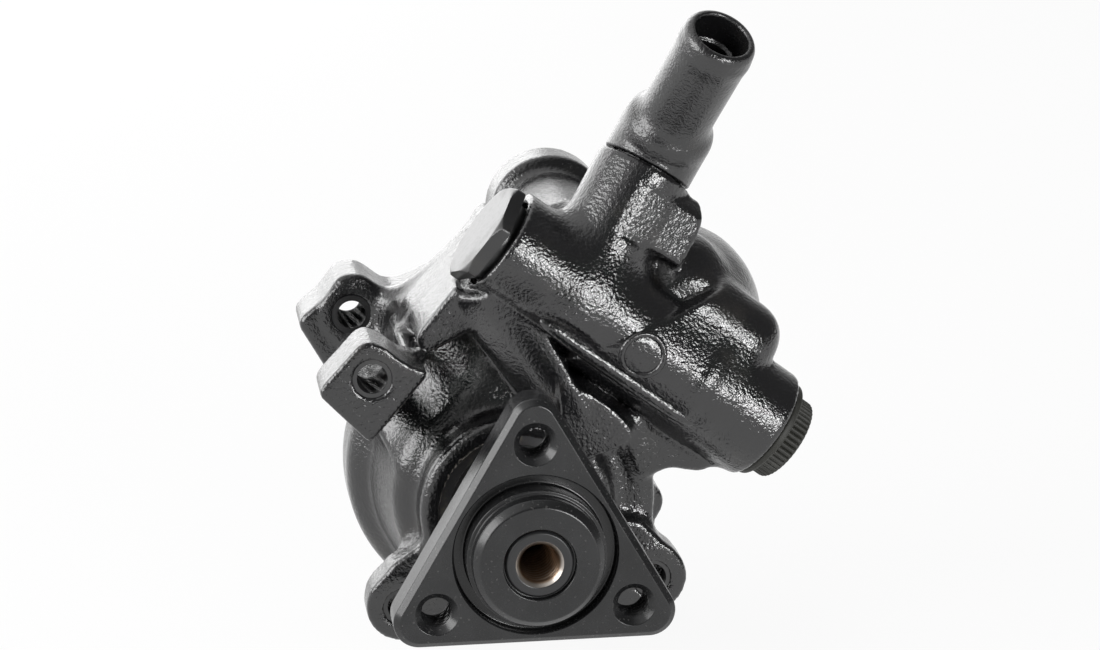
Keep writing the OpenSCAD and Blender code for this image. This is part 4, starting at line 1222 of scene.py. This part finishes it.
@dataclass
class Plugs:
    """Hexagonal valve plug and the ribbed cap in the outlet."""

    flats: float = 22.0
    hex_turn: float = -20.0
    hex_face: float = -44.0
    hex_sides: int = 192
    ribs: int = 44
    rib_depth: float = 0.6
    cap_foot: float = -11.0

    def hexagon(self, dress: Dresser) -> None:
        """Valve plug: the head's radius is the lesser of a hexagon and a cone, r = min(f / cos(a), c(h))."""
        n = self.hex_sides
        a = circle(n)[None, :]
        sector = math.pi / 3
        hexa = self.flats / 2 / np.cos((a - math.radians(self.hex_turn) + sector / 2) % sector - sector / 2)
        h = np.array([0.0, 0.1, 0.3, 0.6, 0.9, 1.3, 2.6, 2.95, 3.1])[:, None]
        cone = np.array([11.2, 11.5, 11.8, 12.2, 12.6, 13.2, 13.2, 12.8, 12.5])[:, None]
        head = about_z(soft_min(hexa, cone, 0.2), a, h)
        top = turned_rows(np.array([(0.0, 0.0), (9.0, 0.0), (10.6, 0.0)]), n)
        stem = rounded([(9.6, 3.15, 0), (9.6, 5.4, 0.2), (8.1, 5.6, 0.2), (8.1, 8.6, 0), (9.0, 8.6, 0.2),
                        (9.0, 19.0, 0.5), (5.7, 19.0, 0.2), (5.7, 13.0, 0.2), (0.0, 13.0, 0)])
        shell = Shell.grid(np.concatenate([top, head, turned_rows(stem, n)]))
        place = VALVE.centre + self.hex_face * VALVE.along
        piece = shell.placed(place, VALVE.axes).piece("hexagon_plug", 35.0)
        dress.seat(piece, Body.PUMP, "plug_paint", "valve_plug")

    def cap(self, dress: Dresser) -> None:
        """Outlet cap: a flange and a head whose radius is less by d (1 - w) between ribs, w = |cos|^0.7."""
        n = self.ribs * 8
        a = circle(n)[None, :]
        wave = np.abs(np.cos(a * self.ribs / 2)) ** 0.7
        skin = rounded([(7.0, self.cap_foot, 0), (7.0, 0.0, 0), (11.6, 0.0, 0.3), (12.0, 0.4, 0.3),
                        (12.0, 1.6, 0.4), (11.4, 2.0, 0.4), (10.2, 2.0, 0.2), (10.0, 2.3, 0.2),
                        (10.0, 6.2, 0.5), (9.3, 6.6, 0.4), (7.6, 6.6, 0.4), (7.2, 5.6, 0.4), (0.0, 5.6, 0)])
        r, h = skin[:, :1], skin[:, 1:2]
        rib = np.clip((h - 2.1) / 0.3, 0, 1) * np.clip((6.62 - h) / 0.3, 0, 1) * (r > 9.0)
        head = about_z(r - self.rib_depth * rib * (1 - wave), a, h)
        shell = Shell.grid(np.concatenate([ring(0.0, self.cap_foot, n)[None], head]))
        place = VALVE.centre + VALVE.end * VALVE.along
        piece = shell.placed(place, VALVE.axes).piece("ribbed_outlet_cap", 30.0)
        dress.seat(piece, Body.PUMP, "plug_plastic", "outlet_plug")

    def build(self, dress: Dresser) -> None:
        """Builds both plugs."""
        self.hexagon(dress)
        self.cap(dress)


@dataclass
class Spring:
    """Flow valve spring: a round wire on a helix."""

    mean: float = 4.75
    wire: float = 1.2
    turns: int = 7
    start: float = -31.0
    end: float = 0.0
    sides: int = 12

    def build(self, dress: Dresser) -> None:
        """Sweeps a circle along the helix and gives the piece a mesh of its own."""
        t = np.linspace(0, 1, self.turns * 40)
        a = 2 * np.pi * self.turns * t
        rise = self.start + self.wire / 2 + (self.end - self.start - self.wire) * t
        c = np.stack([self.mean * np.cos(a), self.mean * np.sin(a), rise], -1)
        side = np.stack([np.cos(a), np.sin(a), 0 * a], -1)
        up = np.cross(unit(np.gradient(c, axis=0)), side)
        tube = swept(c, side, up, self.wire / 2, self.sides)
        first, last = (np.repeat(c[i][None, None], self.sides, 1) for i in (0, -1))
        shell = Shell.grid(np.concatenate([first, tube, last]))
        piece = shell.placed(VALVE.centre, VALVE.axes).piece("valve_spring_wire", 50.0)
        dress.seat(piece, Body.PUMP, "spring_steel", "flow_valve_spring")
        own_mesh(piece)


@dataclass
class Studio:
    """White floor and surround, soft lamps and the camera of the photograph, with eye and ground in
    millimetres and aim in metres."""

    azimuth: float = -8.28
    elevation: float = 15.01
    eye: tuple[float, float, float] = (-85.48, -608.36, 216.32)
    lens: float = 98.18
    glow: float = 0.92
    pale_side: tuple[float, float, float] = (-0.8, 0.55, 0.2)
    dark: float = 0.13
    pale: float = 1.1
    dim: float = 0.5
    ground: float = -36.0
    aim: tuple[float, float, float] = (0.01, 0.05, 0.03)
    sensor: float = 36.0

    def camera(self) -> None:
        """Places the camera by its right, up and back directions."""
        a, e = math.radians(self.azimuth), math.radians(self.elevation)
        right = (math.cos(a), math.sin(a), 0.0)
        up = (-math.sin(a) * math.sin(e), math.cos(a) * math.sin(e), math.cos(e))
        back = (math.sin(a) * math.cos(e), -math.cos(a) * math.cos(e), math.sin(e))
        data = bpy.data.cameras.new("camera")
        data.lens, data.sensor_width = self.lens, self.sensor
        data.clip_start, data.clip_end = 0.01, 20.0
        cam = bpy.data.objects.new("camera", data)
        place = Matrix((right, up, back)).transposed().to_4x4()
        place.translation = [c * MM for c in self.eye]
        cam.matrix_world = place
        bpy.context.scene.collection.objects.link(cam)
        bpy.context.scene.camera = cam

    def floor(self) -> None:
        """Pale round floor that is white to the camera and keeps a faint shadow."""
        r = np.array([0.0, 400.0, 1500.0, 4000.0])[:, None]
        piece = Shell.grid(about_z(r, circle(96), self.ground)).piece("studio_floor")
        s = Shader("studio_floor")
        cloud = s.noise(180.0, 2.0)
        s.put(Base_Color=s.blend(cloud, (0.8, 0.8, 0.8), (0.84, 0.84, 0.84)), Roughness=0.7)
        glow = s.node("ShaderNodeEmission", {}, {"Strength": 1.0})
        sockets = {0: s.seen() * self.glow, 1: Value(s, s.base.outputs[0]), 2: glow}
        both = s.node("ShaderNodeMixShader", {}, sockets)
        s.tree.links.new(both.socket, s.tree.nodes["Material Output"].inputs[0])
        piece.data.materials.append(s.material)

    def world(self) -> None:
        """White surround for the camera; in reflections and as light it is paler to the left and the rear."""
        world = bpy.data.worlds.new("surround")
        bpy.context.scene.world = world
        world.use_nodes = True
        g = Graph(world.node_tree)
        way = g.node("ShaderNodeTexCoord", {}, {}, "Generated")
        side = g.vector("DOT_PRODUCT", {0: way, 1: self.pale_side}, "Value")
        grey = self.dark + (self.pale - self.dark) * side.limit(-0.35, 0.45)
        camera = g.ray("Is Camera Ray")
        power = camera + (1 - camera) * grey * (1 - self.dim * g.ray("Is Diffuse Ray"))
        back = world.node_tree.nodes["Background"]
        back.inputs["Color"].default_value = (1, 1, 1, 1)
        world.node_tree.links.new(power.socket, back.inputs["Strength"])

    def lamp(self, name: str, at: Sequence[float], size: tuple[float, float], power: float) -> None:
        """Soft rectangular lamp that looks at the middle of the part.

        Args:
            name: Name of the lamp.
            at: Its place in metres.
            size: Width and height in metres.
            power: Power in watts.
        """
        data = bpy.data.lights.new(name, "AREA")
        data.shape, data.size, data.size_y, data.energy = "RECTANGLE", size[0], size[1], power
        lamp = bpy.data.objects.new(name, data)
        way = Vector(at) - Vector(self.aim)
        lamp.visible_camera = False
        lamp.matrix_world = Matrix.Translation(at) @ way.to_track_quat("Z", "Y").to_matrix().to_4x4()
        bpy.context.scene.collection.objects.link(lamp)

    def build(self) -> None:
        """Sets up the whole studio."""
        self.camera()
        self.floor()
        self.world()
        self.lamp("front_softbox", (0.52, -0.93, 0.2), (0.46, 0.26), 7.0)
        self.lamp("left_softbox", (-0.86, -0.22, 0.4), (0.8, 0.55), 8.0)
        self.lamp("back_softbox", (-0.45, 0.95, 0.35), (1.3, 0.9), 7.0)
        bpy.context.scene.view_settings.view_transform = "Standard"


def main() -> None:
    """Builds the studio and every sub-assembly in order."""
    logging.basicConfig(level=logging.INFO, format="%(message)s")
    Studio().build()
    dress = Dresser()
    dress.dress_nodes()
    for part in (Casting(), TagRing(), Ridge(), Threads(), Hub(), Shaft(), SuctionPipe(), Plugs(), Spring()):
        part.build(dress)


if __name__ == "__main__":
    main()
